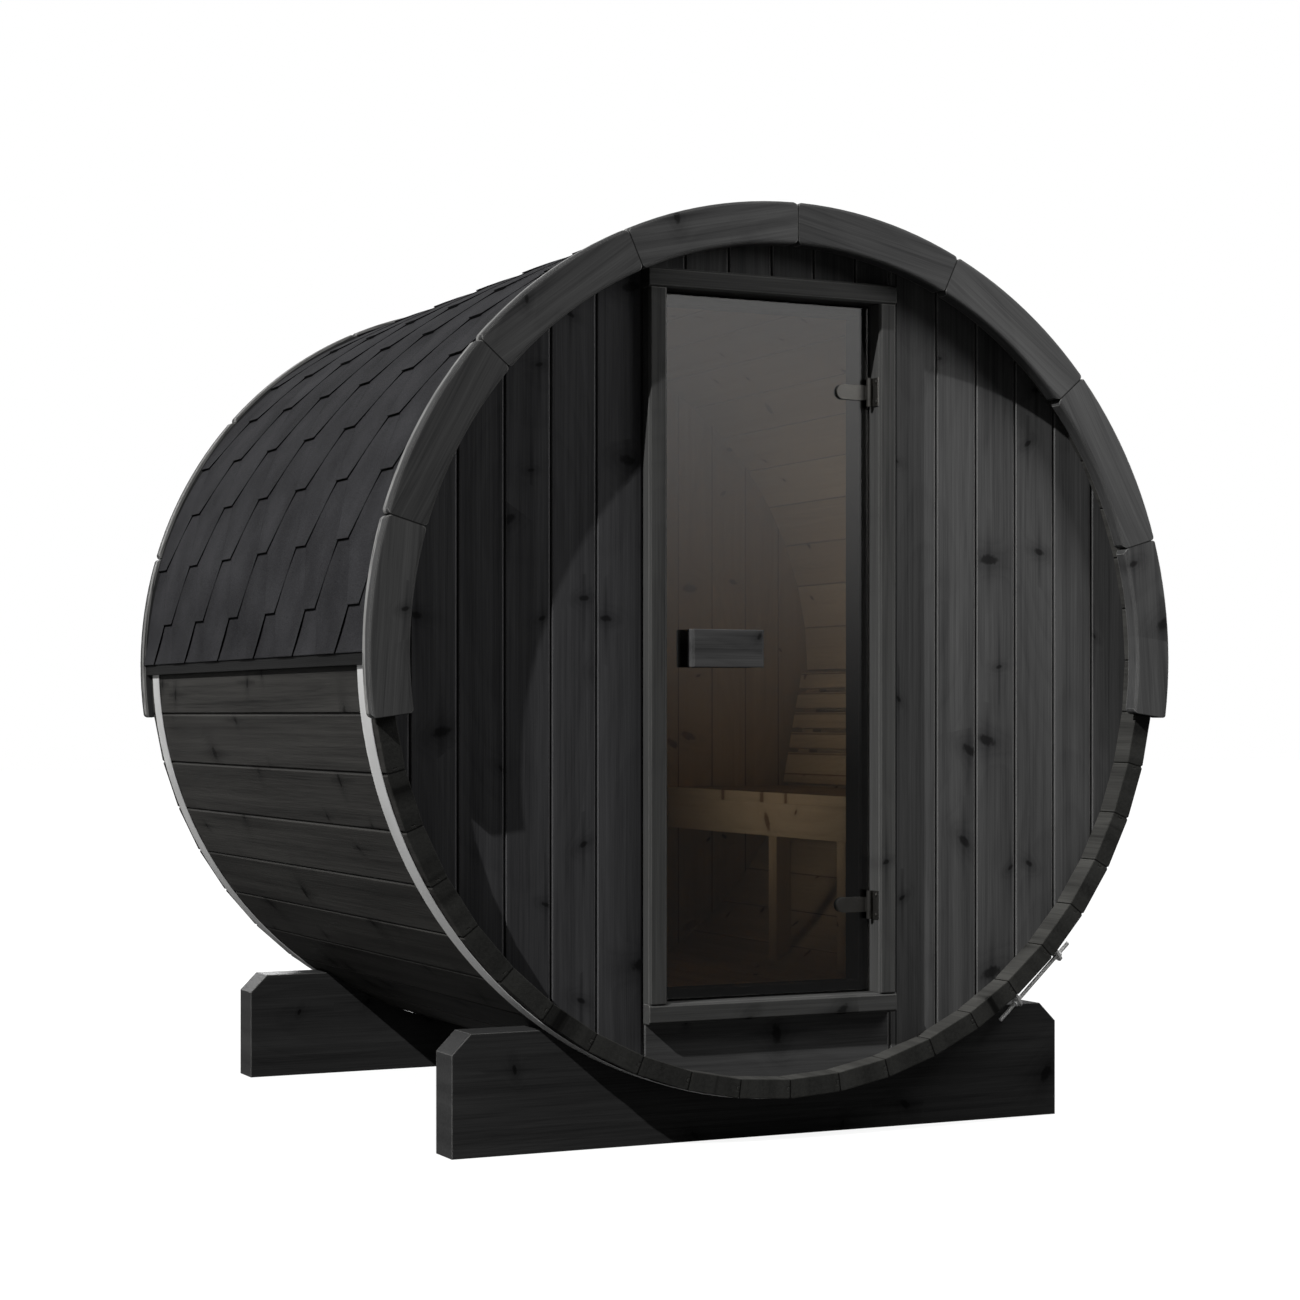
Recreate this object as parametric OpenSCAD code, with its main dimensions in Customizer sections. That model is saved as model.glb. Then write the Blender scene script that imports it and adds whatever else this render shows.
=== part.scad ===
// Barrel sauna. Tongued staves are drawn together by two steel hoops and stand on two
// saddle cradles. Plank end walls sit in a groove cut round the inside of the staves.
// A glass door hangs in a timber frame, shingles cover the upper half of the barrel,
// and a bench with a slatted backrest runs along the right side inside.
// The front faces -Y, the ground is at Z = 0 and the barrel's axis runs along Y.

/* [Barrel] */
// Radius to the outer corners of the staves
barrel_r = 1010; // [1000:1:1150]
// Length of the staves
stave_len = 1775; // [1500:5:2400]
// Thickness of a stave
stave_t = 44; // [36:1:48]
// Number of staves round the barrel
stave_count = 48; // [40:1:60]
// Chamfer along the outer edges of a stave
stave_chamfer = 4; // [1:0.5:6]
// Chamfer along the inner edges of a stave
stave_inner_chamfer = 2; // [0.5:0.5:4]
// Width of the tongue along a stave or a wall board
tongue_w = 11; // [8:0.5:14]
// Depth of that tongue
tongue_d = 8; // [5:0.5:12]
// Depth of the groove in the staves that holds the end walls
croze_d = 9; // [6:0.5:12]

/* [Cradles] */
// Height of cradle left under the barrel
cradle_under = 98; // [60:1:140]
// Length of a cradle across the barrel
cradle_len = 1576; // [1400:2:1700]
// Thickness of a cradle along the barrel
cradle_t = 96; // [60:1:140]
// Height of a cradle at its ends
cradle_h = 273; // [220:1:300]
// Chamfer on the upper corners of a cradle
cradle_chamfer = 45; // [20:1:80]
// Gap between a hoop and the cradle behind it
cradle_gap = 12.5; // [5:0.5:60]

/* [End walls] */
// Distance from the stave ends back to the face of an end wall
wall_recess = 59; // [40:1:120]
// Thickness of an end wall
wall_t = 42; // [34:1:50]
// Width that one wall board covers
board_w = 110.5; // [80:0.5:140]
// Place of the middle board joint across the front wall
board_joint_x = -17; // [-40:1:40]
// Chamfer along the edges of a wall board
board_chamfer = 4; // [1:0.5:6]

/* [Door frame] */
// Place of the middle of the doorway across the front
door_x = -23; // [-60:1:60]
// Clear width between the jambs
doorway_w = 550; // [450:1:600]
// Space between the upper corner of the door frame and the staves
corner_gap = 30.6; // [20:0.1:90]
// Height of the top of the sill above the floor
sill_step = 36; // [10:1:60]
// Width of the frame timbers, seen from the front
frame_w = 45; // [35:1:55]
// Depth of the frame from front to back
frame_d = 120; // [100:1:160]
// How far the frame stands in front of the wall
frame_proud = 32; // [10:1:50]
// Chamfer along the front edges of the frame
frame_chamfer = 5; // [1:0.5:10]
// How far the door stops stand into the doorway
stop_w = 25; // [15:1:35]

/* [Door leaf] */
// Thickness of the glass
glass_t = 8; // [6:1:12]
// Distance from the front of the frame back to the glass
glass_setback = 46; // [40:1:60]
// Gap between the glass and the frame all round
glass_gap = 6; // [5:0.5:10]
// Width of the handle block
handle_w = 186; // [120:1:220]
// Height of the handle block
handle_h = 86; // [50:1:120]
// Thickness of the handle block
handle_t = 24; // [16:1:26]
// Space for the fingers between the handle block and the glass
finger_gap = 16; // [12:1:20]
// Chamfer along the front edges of the handle block
handle_chamfer = 6; // [2:0.5:8]
// Length of the handle's foot on the glass
handle_foot_w = 112; // [60:1:115]
// How far the handle's foot stands back from the edges of the block
handle_foot_inset = 14; // [6:1:20]
// Distance from the free edge of the glass to the handle
handle_inset = 58; // [30:1:120]
// Height of the handle's middle below the middle of the doorway
handle_drop = 4; // [-100:1:200]

/* [Hinges] */
// Distance from the ends of the doorway to the middle of a hinge
hinge_inset = 205; // [120:1:300]
// Height of a hinge on the jamb
hinge_h = 66; // [56:1:90]
// Radius of a hinge pin
pin_r = 4; // [3:0.5:5]
// Wall of the knuckles round a hinge pin
knuckle_wall = 2.5; // [1.5:0.5:3]
// Distance from the jamb to the middle of a hinge pin
pin_to_jamb = 10.5; // [10:0.5:14]
// Distance from the face of the glass forward to the middle of a hinge pin
pin_to_glass = 14; // [12:0.5:16]
// Length of the clamping plate on the glass
clamp_w = 78; // [60:1:100]
// Height of the clamping plate on the glass
clamp_h = 35; // [26:1:40]
// Thickness of a clamping plate
clamp_t = 6; // [4:0.5:6]
// Thickness of the hinge plate on the jamb
jamb_plate_t = 3; // [2:0.5:3.5]

/* [Hoops] */
// Width of a hoop band
hoop_w = 60; // [40:1:80]
// Thickness of a hoop band
hoop_t = 1.5; // [1:0.1:3]
// Distance from the stave ends to a hoop
hoop_inset = 27; // [10:1:28]
// Angle of the hoop bolt round the barrel, measured from the right-hand side
bolt_angle = -47.4; // [-60:0.1:-30]
// Distance between the lugs that the bolt draws together
lug_spread = 148; // [80:1:200]
// Thickness of a lug
lug_t = 6; // [4:0.5:8]
// Band left bare along each side of a lug
lug_margin = 3; // [1:0.5:6]
// Radius of the hoop bolt
bolt_r = 5; // [4:0.5:6]
// Height of the hoop bolt over the barrel
bolt_h = 36; // [26:1:40]
// Length of bolt beyond the lower lug
bolt_tail = 64; // [30:1:80]
// Length of bolt beyond the upper lug
bolt_head = 42; // [30:1:80]
// Radius of a nut across its corners
nut_r = 9; // [8:0.5:12]
// Height of a nut
nut_h = 8; // [5:0.5:12]

/* [Roof] */
// Height of a course of shingles that shows
course_h = 151.5; // [120:0.5:180]
// Height of the lowest course above the eaves
first_course_h = 104; // [60:1:150]
// Thickness of the shingle layer
shingle_t = 4; // [3:0.5:5]
// Step in thickness at the lower edge of a course
course_step = 3.5; // [1:0.5:5]
// Height of the ridge strip on each side of the top
ridge_half_w = 140; // [90:1:160]
// Height of the eaves battens
batten_h = 27; // [16:1:40]
// Thickness of the eaves battens
batten_t = 10; // [8:1:12]
// Height over which the shingles kick out above the eaves
kick_h = 80; // [40:5:120]

/* [End trim] */
// How far the trim stands out past the barrel
trim_lip = 20; // [17:1:40]
// Width of a trim board
trim_w = 96; // [70:1:110]
// Thickness of a trim board
trim_t = 37; // [20:1:50]
// Trim boards on each side of an end
trim_per_side = 4; // [2:1:6]
// Angle that the trim reaches below the horizontal
trim_drop = 8; // [0:0.5:20]
// Rounding along the front edges of a trim board
trim_round = 8; // [2:0.5:12]
// Rounding of the corners of a trim board
trim_corner = 14; // [6:1:24]

/* [Floor] */
// Height of the floor above the lowest point inside the barrel
floor_rise = 145; // [110:1:180]
// Thickness of the floor boards
floor_t = 22; // [18:1:30]
// Width of the floor boards
floor_board_w = 95; // [60:1:140]
// Gap between the floor boards
floor_gap = 10; // [4:1:15]
// Thickness of the floor bearers
bearer_t = 45; // [30:1:60]
// Distance from the end walls to the outer floor bearers
bearer_inset = 120; // [60:1:200]

/* [Bench] */
// Depth of the bench from its front edge to the staves
bench_w = 389; // [330:1:430]
// Height of the seat above the floor
seat_h = 475; // [420:1:500]
// Thickness of the seat boards
seat_t = 28; // [20:1:40]
// Width of the seat boards
seat_board_w = 88; // [70:1:110]
// Gap between the seat boards
seat_gap = 10; // [5:1:15]
// Height of the board under the seat's front edge
front_board_h = 90; // [60:1:120]
// Thickness of that board
front_board_t = 28; // [18:1:35]
// Height of the cross bearers under the seat
seat_bearer_h = 70; // [45:1:90]
// Thickness of the posts and cross bearers
post_t = 45; // [35:1:60]
// Distance between the two posts
post_spacing = 377; // [300:1:700]

/* [Backrest] */
// Height of a slat
slat_h = 47; // [35:1:50]
// Distance from one slat to the next
slat_pitch = 60; // [58:1:70]
// Thickness of a slat
slat_t = 20; // [14:1:26]
// Number of narrow slats
slat_count = 4; // [2:1:4]
// Height of the wide board below the slats
low_slat_h = 92; // [60:1:110]
// Space between the seat and the backrest
backrest_lift = 6; // [3:1:15]
// Thickness of the backrest's uprights between its lower end and the staves
upright_foot_t = 15; // [10:1:20]
// Thickness of the backrest's uprights between its upper end and the staves
upright_head_t = 13; // [10:1:20]
// Width of the backrest's uprights
upright_w = 60; // [40:1:80]
// Distance from the end walls to the ends of the slats
slat_end_gap = 30; // [10:1:60]

/* [Hidden] */

// Facets of small round pieces, and of circles as large as the barrel
$fn = 96;
round_fn = 360;

// Clearance between boards that lie edge to edge
joint_gap = 0.4;
// Clearance between a piece and its curved or grooved seat
fit = 0.3;
// Clearance of a tongue in its groove
tongue_clear = 0.6;
// Taper of a stave's tongue towards its tip
tongue_taper = 1;
// Running clearance of a hinge pin
pin_clear = 0.06;
// Overshoot of cutting shapes
over = 5;
// Narrowest board left at the end of a row
least_strip = 30;
// Space between the seat and the staves
seat_clear = 5;
// Staves are gathered in this many groups
stave_groups = 6;

stain = [0.14, 0.13, 0.125];
stain_light = [0.20, 0.19, 0.18];
bare_wood = [0.80, 0.63, 0.43];
bare_wood_dark = [0.72, 0.55, 0.37];
steel = [0.78, 0.79, 0.80];
black_metal = [0.10, 0.10, 0.11];
tinted = [0.35, 0.34, 0.32, 0.5];
bitumen = [0.10, 0.10, 0.105];

// Barrel
stave_half = 180 / stave_count;
stave_face = barrel_r * cos(stave_half);
stave_in = stave_face - stave_t;
inside_r = stave_in - fit;
axis_z = cradle_under + barrel_r;

// End walls
wall_r = stave_in + croze_d - fit;
wall_face = stave_len / 2 - wall_recess;
wall_inner = wall_face - wall_t;
room_len = 2 * wall_inner;

// Floor
floor_top = axis_z - stave_in + floor_rise;
floor_under = floor_top - floor_t;

// Door frame and leaf, seen from the front
jamb_l = door_x - doorway_w / 2;
jamb_r = door_x + doorway_w / 2;
frame_l = jamb_l - frame_w;
frame_r = jamb_r + frame_w;
sill_top = floor_top + sill_step;
frame_bottom = sill_top - frame_w;
frame_reach = max(abs(frame_l), abs(frame_r));
frame_top = axis_z + sqrt(stave_in * stave_in - frame_reach * frame_reach) - corner_gap;
head_under = frame_top - frame_w;
doorway_h = head_under - sill_top;
doorway_mid = (sill_top + head_under) / 2;
frame_front = -wall_face - frame_proud;
glass_front = frame_front + glass_setback;
glass_back = glass_front + glass_t;
stop_front = glass_back + glass_gap;
frame_back = frame_front + frame_d;

// Hinge line
pin_x = jamb_r - pin_to_jamb;
pin_y = glass_front - pin_to_glass;
knuckle_r = pin_r + knuckle_wall;
knuckle_h = hinge_h / 4;

// Hoops and roof
hoop_in = barrel_r + fit;
hoop_out = hoop_in + hoop_t;
hoop_mid = stave_len / 2 - hoop_inset - hoop_w / 2;
cradle_front_y = -hoop_mid + hoop_w / 2 + cradle_gap;
bolt_line = barrel_r + bolt_h;
cover_in = hoop_out + fit;
cover_out = cover_in + shingle_t;
batten_out = cover_in + batten_t;
roof_len = stave_len - 2 * fit;
course_deg = to_deg(course_h, cover_out);
first_deg = to_deg(first_course_h, cover_out);
course_count = ceil((90 - first_deg) / course_deg) - 1;
ridge_deg = to_deg(ridge_half_w, cover_out);
ridge_in = cover_out + course_step + fit;

// End trim
trim_out = barrel_r + trim_lip;
trim_in = trim_out - trim_w;
trim_deg = (90 + trim_drop) / trim_per_side;

// Bench and backrest
seat_top = floor_top + seat_h;
seat_under = seat_top - seat_t;
bench_len = room_len - 2 * joint_gap;
bench_x = inside_x(seat_under) - bench_w;
seat_back_x = inside_x(seat_under) - seat_clear;
seat_count = floor((seat_back_x - bench_x + seat_gap) / (seat_board_w + seat_gap));
backrest_z = seat_top + backrest_lift;
backrest_x = inside_x(backrest_z) - upright_foot_t;
backrest_h = low_slat_h + slat_pitch * slat_count;
backrest_top_x = inside_x(backrest_z + backrest_h) - upright_head_t;
backrest_lean = atan((backrest_top_x - backrest_x) / backrest_h);

// Angle of an arc of the given length
function to_deg(len, r) = len / r * 180 / PI;

// Half width of the room at height z
function inside_x(z) = sqrt(inside_r * inside_r - (z - axis_z) * (z - axis_z));

// Place of a point on a circle round the barrel's axis, in the plane of the front
function polar(r, a) = [r * cos(a), r * sin(a)];

// Edges of the boards that fill a wall from a to b
function board_edges(a, b) = concat(
    [a],
    [for (k = [floor(a / board_w) - 1 : ceil(b / board_w) + 1])
        let (x = board_joint_x + k * board_w)
        if (x > a + least_strip && x < b - least_strip) x],
    [b]
);

// A flat outline drawn in X and Z, given depth along Y from y0 towards the back
module upright(y0, depth) {
    translate([0, y0 + depth, 0])
        rotate([90, 0, 0])
            linear_extrude(depth)
                children();
}

// The room's round inside, along the whole barrel
module inside_round(r = inside_r) {
    translate([0, 0, axis_z])
        rotate([90, 0, 0])
            cylinder(r = r, h = stave_len, center = true, $fn = round_fn);
}

// A plain board between two corners
module board(low, high) {
    translate(low)
        cube(high - low);
}

// A shape made for the front, repeated at the back as its mirror image
module at_rear() {
    mirror([0, 1, 0])
        children();
}

// Staves
function stave_side(r) = [r * tan(stave_half) - joint_gap / 2 / cos(stave_half), r];

// Outline of a stave: tongue on the right edge, groove on the left edge
module stave_outline() {
    mid = stave_face - stave_t / 2;
    out = [cos(stave_half), -sin(stave_half)];
    in = [cos(stave_half), sin(stave_half)];
    groove_w = tongue_w + 2 * tongue_clear;
    groove_d = tongue_d + tongue_clear;
    t_up = stave_side(mid + tongue_w / 2);
    t_low = stave_side(mid - tongue_w / 2);
    g_up = mirror_x(stave_side(mid + groove_w / 2));
    g_low = mirror_x(stave_side(mid - groove_w / 2));
    corner = stave_side(stave_face);
    inner = stave_side(stave_in);
    polygon([
        corner - [stave_chamfer, 0],
        stave_side(stave_face - stave_chamfer),
        t_up,
        t_up + tongue_d * out - [0, tongue_taper],
        t_low + tongue_d * out + [0, tongue_taper],
        t_low,
        stave_side(stave_in + stave_inner_chamfer),
        inner - [stave_inner_chamfer, 0],
        mirror_x(inner) + [stave_inner_chamfer, 0],
        mirror_x(stave_side(stave_in + stave_inner_chamfer)),
        g_low,
        g_low + groove_d * in + [0, tongue_taper],
        g_up + groove_d * in - [0, tongue_taper],
        g_up,
        mirror_x(stave_side(stave_face - stave_chamfer)),
        mirror_x(corner) + [stave_chamfer, 0]
    ]);
}

function mirror_x(p) = [-p[0], p[1]];

module stave() {
    groove_len = wall_t + 2 * fit;
    groove_mid = wall_face - wall_t / 2;
    half_w = barrel_r * tan(stave_half) + tongue_d;
    difference() {
        linear_extrude(stave_len, center = true)
            stave_outline();
        for (end = [-1, 1])
            translate([-half_w, stave_in - over, end * groove_mid - groove_len / 2])
                cube([2 * half_w, croze_d + over, groove_len]);
    }
}

module stave_group(g) {
    first = floor(g * stave_count / stave_groups);
    last = floor((g + 1) * stave_count / stave_groups) - 1;
    color(stain)
        for (i = [first : last])
            translate([0, 0, axis_z])
                rotate([0, 90 - (2 * i + 1) * stave_half, 0])
                    rotate([90, 0, 0])
                        stave();
}

module staves_upper_right() { stave_group(0); }
module staves_crown() { stave_group(1); }
module staves_upper_left() { stave_group(2); }
module staves_lower_left() { stave_group(3); }
module staves_bottom() { stave_group(4); }
module staves_lower_right() { stave_group(5); }

// Cradles
module cradle() {
    half = cradle_len / 2;
    upright(cradle_front_y, cradle_t)
        difference() {
            polygon([
                [-half, 0],
                [half, 0],
                [half, cradle_h - cradle_chamfer],
                [half - cradle_chamfer, cradle_h],
                [-half + cradle_chamfer, cradle_h],
                [-half, cradle_h - cradle_chamfer]
            ]);
            translate([0, axis_z])
                circle(r = barrel_r, $fn = round_fn);
        }
}

module cradle_front() { color(stain_light) cradle(); }
module cradle_rear() { color(stain_light) at_rear() cradle(); }

// Plank walls
// One wall board from x0 to x1, seen from above with its face on y = 0
module wall_board_outline(x0, x1, groove, tongue) {
    left = x0 + joint_gap / 2;
    right = x1 - joint_gap / 2;
    mid = wall_t / 2;
    groove_w = tongue_w + 2 * tongue_clear;
    groove_d = tongue_d + tongue_clear;
    right_edge = tongue
        ? [[right, mid - tongue_w / 2], [right + tongue_d, mid - tongue_w / 2],
           [right + tongue_d, mid + tongue_w / 2], [right, mid + tongue_w / 2]]
        : [];
    left_edge = groove
        ? [[left, mid + groove_w / 2], [left + groove_d, mid + groove_w / 2],
           [left + groove_d, mid - groove_w / 2], [left, mid - groove_w / 2]]
        : [];
    polygon(concat(
        [[left + board_chamfer, 0], [right - board_chamfer, 0], [right, board_chamfer]],
        right_edge,
        [[right, wall_t], [left, wall_t]],
        left_edge,
        [[left, board_chamfer]]
    ));
}

// A row of boards that fills the wall from x0 to x1 and from z0 to z1
module wall_boards(x0, x1, z0, z1) {
    edges = board_edges(x0, x1);
    last = len(edges) - 2;
    intersection() {
        for (i = [0 : last])
            translate([0, -wall_face, z0])
                linear_extrude(z1 - z0)
                    wall_board_outline(edges[i], edges[i + 1], i > 0, i < last);
        inside_round(wall_r);
    }
}

wall_low = axis_z - wall_r - over;
wall_high = axis_z + wall_r + over;

module front_wall_left() { color(stain) wall_boards(-wall_r, frame_l, wall_low, wall_high); }
module front_wall_right() { color(stain) wall_boards(frame_r, wall_r, wall_low, wall_high); }
module front_wall_over_door() {
    color(stain)
        wall_boards(frame_l, frame_r, frame_top + joint_gap, wall_high);
}

// One wide panel closes the wall under the door
module front_wall_under_door() {
    color(stain)
        intersection() {
            translate([0, -wall_face, wall_low])
                linear_extrude(frame_bottom - joint_gap - wall_low)
                    wall_board_outline(frame_l, frame_r, false, false);
            inside_round(wall_r);
        }
}

module back_wall() { color(stain) at_rear() wall_boards(-wall_r, wall_r, wall_low, wall_high); }

// Door frame
// Section of a frame timber, from its outer edge at 0 to its inner edge, front on y = 0
module frame_section() {
    polygon([
        [frame_chamfer, 0],
        [frame_w - frame_chamfer, 0],
        [frame_w, frame_chamfer],
        [frame_w, frame_d],
        [0, frame_d],
        [0, frame_chamfer]
    ]);
}

module jamb(x) {
    color(stain)
        translate([x, frame_front, sill_top + joint_gap])
            linear_extrude(doorway_h - 2 * joint_gap)
                frame_section();
}

module rail(z) {
    color(stain)
        translate([frame_l, frame_front, z])
            rotate([90, 0, 90])
                linear_extrude(frame_r - frame_l)
                    mirror([1, -1, 0])
                        frame_section();
}

module door_jamb_left() { jamb(frame_l); }
module door_jamb_right() { jamb(jamb_r); }
module door_head() { rail(head_under); }
module door_sill() { rail(frame_bottom); }

// Four strips behind the glass, which the leaf closes against
module door_stops() {
    inner_l = jamb_l + stop_w + joint_gap;
    inner_r = jamb_r - stop_w - joint_gap;
    low = sill_top + joint_gap;
    high = head_under - joint_gap;
    color(stain) {
        board([jamb_l, stop_front, low], [jamb_l + stop_w, frame_back, high]);
        board([jamb_r - stop_w, stop_front, low], [jamb_r, frame_back, high]);
        board([inner_l, stop_front, high - stop_w], [inner_r, frame_back, high]);
        board([inner_l, stop_front, low], [inner_r, frame_back, low + stop_w]);
    }
}

// Door leaf
module door_glass() {
    color(tinted)
        board(
            [jamb_l + glass_gap, glass_front, sill_top + glass_gap],
            [jamb_r - glass_gap, glass_back, head_under - glass_gap]
        );
}

// A block on a foot: the fingers reach behind its free end
module door_handle() {
    x0 = jamb_l + glass_gap + handle_inset;
    z0 = doorway_mid - handle_drop - handle_h / 2;
    foot_front = glass_front - finger_gap;
    color(stain)
        union() {
            translate([x0, foot_front - handle_t, z0])
                linear_extrude(handle_h)
                    polygon([
                        [handle_chamfer, 0], [handle_w - handle_chamfer, 0],
                        [handle_w, handle_chamfer], [handle_w, handle_t],
                        [0, handle_t], [0, handle_chamfer]
                    ]);
            board(
                [x0 + handle_w - handle_foot_w, foot_front - over, z0 + handle_foot_inset],
                [x0 + handle_w - handle_foot_inset, glass_front, z0 + handle_h - handle_foot_inset]
            );
        }
}

// Hinges: two fixed knuckles on the jamb carry the pin, one knuckle on the glass turns
hinge_heights = [sill_top + hinge_inset, head_under - hinge_inset];
leaf_knuckle_h = hinge_h - 2 * knuckle_h - 2 * joint_gap;

module knuckle(z, h) {
    translate([pin_x, pin_y, z])
        cylinder(r = knuckle_r, h = h);
}

module jamb_plate(z) {
    low = z - hinge_h / 2;
    web_t = pin_r;
    plate_x = jamb_r - jamb_plate_t;
    plate_front = frame_front + frame_chamfer + fit;
    board([plate_x, plate_front, low], [jamb_r, pin_y + knuckle_r, low + hinge_h]);
    translate([pin_x, pin_y, low])
        cylinder(r = pin_r, h = hinge_h);
    for (k = [low, low + hinge_h - knuckle_h]) {
        knuckle(k, knuckle_h);
        board([pin_x, pin_y - web_t, k], [plate_x + fit, pin_y + web_t, k + knuckle_h]);
    }
}

module hinge_jamb_plates() {
    color(black_metal)
        for (z = hinge_heights)
            union()
                jamb_plate(z);
}

module leaf_plate(z) {
    low = z - leaf_knuckle_h / 2;
    plate_r = pin_x - knuckle_r / 2;
    plate_l = plate_r - clamp_w;
    end_r = clamp_h / 2;
    difference() {
        union() {
            knuckle(low, leaf_knuckle_h);
            board(
                [pin_x - knuckle_r, pin_y, low],
                [pin_x, glass_front - clamp_t / 2, low + leaf_knuckle_h]
            );
            board(
                [plate_l + end_r, glass_front - clamp_t, z - clamp_h / 2],
                [plate_r, glass_front, z + clamp_h / 2]
            );
            translate([plate_l + end_r, glass_front, z])
                rotate([90, 0, 0])
                    cylinder(r = end_r, h = clamp_t);
        }
        translate([pin_x, pin_y, low - over])
            cylinder(r = pin_r + pin_clear, h = leaf_knuckle_h + 2 * over);
    }
}

// The plate behind the glass, clear of the door stop
module back_plate(z) {
    plate_l = pin_x - knuckle_r / 2 - clamp_w;
    end_r = clamp_h / 2;
    board(
        [plate_l + end_r, glass_back, z - clamp_h / 2],
        [jamb_r - stop_w - glass_gap, glass_back + clamp_t, z + clamp_h / 2]
    );
    translate([plate_l + end_r, glass_back + clamp_t, z])
        rotate([90, 0, 0])
            cylinder(r = end_r, h = clamp_t);
}

module hinge_leaves() {
    color(black_metal)
        for (z = hinge_heights) {
            leaf_plate(z);
            union()
                back_plate(z);
        }
}

// Hoops
// Frame of reference at the bolt: X along the bolt, Y along the barrel, Z outwards
module at_bolt() {
    translate([0, -hoop_mid, axis_z])
        rotate([0, 90 - bolt_angle, 0])
            children();
}

// A lug stands on the band, with its foot sunk into the band's thickness
module lug(side) {
    inner = side * lug_spread / 2;
    root = sqrt(hoop_in * hoop_in - lug_spread * lug_spread / 4) + hoop_t / 3;
    foot = hoop_w / 2 - lug_margin;
    head_r = hoop_w / 4;
    translate([inner, 0, 0])
        rotate([0, 90, 0])
            mirror([0, 0, side > 0 ? 0 : 1])
                linear_extrude(lug_t)
                    difference() {
                        union() {
                            translate([-bolt_line, 0])
                                circle(r = head_r);
                            polygon([
                                [-root, -foot], [-root, foot],
                                [-bolt_line, head_r], [-bolt_line, -head_r]
                            ]);
                        }
                        translate([-bolt_line, 0])
                            circle(r = bolt_r + fit);
                    }
}

module hoop() {
    end_deg = asin((lug_spread / 2 - lug_t) / hoop_in);
    union() {
        at_bolt()
            rotate([90, 0, 0])
                rotate([0, 0, 90 + end_deg])
                    hoop_band(360 - 2 * end_deg);
        at_bolt()
            for (side = [-1, 1])
                lug(side);
    }
}

module hoop_band(sweep) {
    rotate_extrude(angle = sweep, $fn = round_fn)
        translate([hoop_in, -hoop_w / 2])
            square([hoop_t, hoop_w]);
}

module hoop_bolt() {
    face = lug_spread / 2 + lug_t;
    at_bolt()
        translate([0, 0, bolt_line])
            rotate([0, 90, 0]) {
                translate([0, 0, -face - bolt_head])
                    cylinder(r = bolt_r, h = 2 * face + bolt_head + bolt_tail);
                translate([0, 0, face])
                    cylinder(r = nut_r, h = nut_h, $fn = 6);
                translate([0, 0, -face - nut_h])
                    cylinder(r = nut_r, h = nut_h, $fn = 6);
            }
}

module hoop_front() { color(steel) hoop(); }
module hoop_rear() { color(steel) at_rear() hoop(); }
module hoop_bolt_front() { color(steel) hoop_bolt(); }
module hoop_bolt_rear() { color(steel) at_rear() hoop_bolt(); }

// Roof
// Angles above the horizontal at which the courses start
course_starts = concat([0], [for (k = [0 : course_count]) first_deg + k * course_deg]);
roof_top = 90 - to_deg(joint_gap, cover_in);
arc_step = 2;

// Upper edge of a course: the next one up, or the top of the roof
function course_end(i) = i < course_count + 1 ? course_starts[i + 1] : roof_top;

// The layer of lapped courses on the right side, kicked out over the eaves batten
module roof_outline() {
    lap = [for (i = [0 : course_count + 1])
        let (a = course_starts[i], b = course_end(i), n = ceil((b - a) / arc_step))
        for (k = [0 : n])
            polar(course_r(a + (b - a) * k / n, k / n), a + (b - a) * k / n)];
    n = ceil(roof_top / arc_step);
    under = [for (k = [n : -1 : 0]) polar(under_r(roof_top * k / n), roof_top * k / n)];
    polygon(concat(lap, under));
}

// Radius of the shingles' underside, and of their face at a share of the way up a course
kick_deg = to_deg(kick_h, cover_out);
function kick(a) = batten_t * pow(max(0, 1 - a / kick_deg), 2);
function under_r(a) = (cover_in + kick(a)) / cos(arc_step / 2);
function course_r(a, share) = under_r(a) + shingle_t + course_step * (1 - share);

module roof_half() {
    translate([0, 0, axis_z])
        upright(-roof_len / 2, roof_len)
            roof_outline();
}

module roof_cover_right() { color(bitumen) roof_half(); }
module roof_cover_left() { color(bitumen) mirror([1, 0, 0]) roof_half(); }

// A strip of shingles folded over the top
module ridge_strip() {
    n = ceil(2 * ridge_deg / arc_step);
    angles = [for (k = [0 : n]) 90 - ridge_deg + 2 * ridge_deg * k / n];
    low = ridge_in / cos(arc_step / 2);
    color(bitumen)
        translate([0, 0, axis_z])
            upright(-roof_len / 2, roof_len)
                polygon(concat(
                    [for (a = angles) polar(low + shingle_t, a)],
                    [for (k = [n : -1 : 0]) polar(low, angles[k])]
                ));
}

// Strip of wood that closes the roof's lower edge
module eaves_batten() {
    color(stain)
        translate([0, 0, axis_z])
            upright(-roof_len / 2, roof_len)
                polygon([
                    [cover_in, -batten_h + joint_gap],
                    [batten_out, -batten_h + joint_gap],
                    [batten_out, -joint_gap],
                    [cover_in, -joint_gap]
                ]);
}

module eaves_batten_right() { eaves_batten(); }
module eaves_batten_left() { mirror([1, 0, 0]) eaves_batten(); }

// End trim
// Points of a rounded corner, cut a little short so that it meets the next edge at an angle
corner_steps = 5;
corner_turn = 75;
function corner_arc(mid, from, turn) = [for (k = [0 : corner_steps])
    mid + trim_corner * [cos(from + turn * k / corner_steps), sin(from + turn * k / corner_steps)]];

// Points of a rounded edge in the section of a trim board
edge_steps = 4;
function edge_arc(mid, from) = [for (k = [0 : edge_steps])
    mid + trim_round * [cos(from + 90 * k / edge_steps), sin(from + 90 * k / edge_steps)]];

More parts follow.
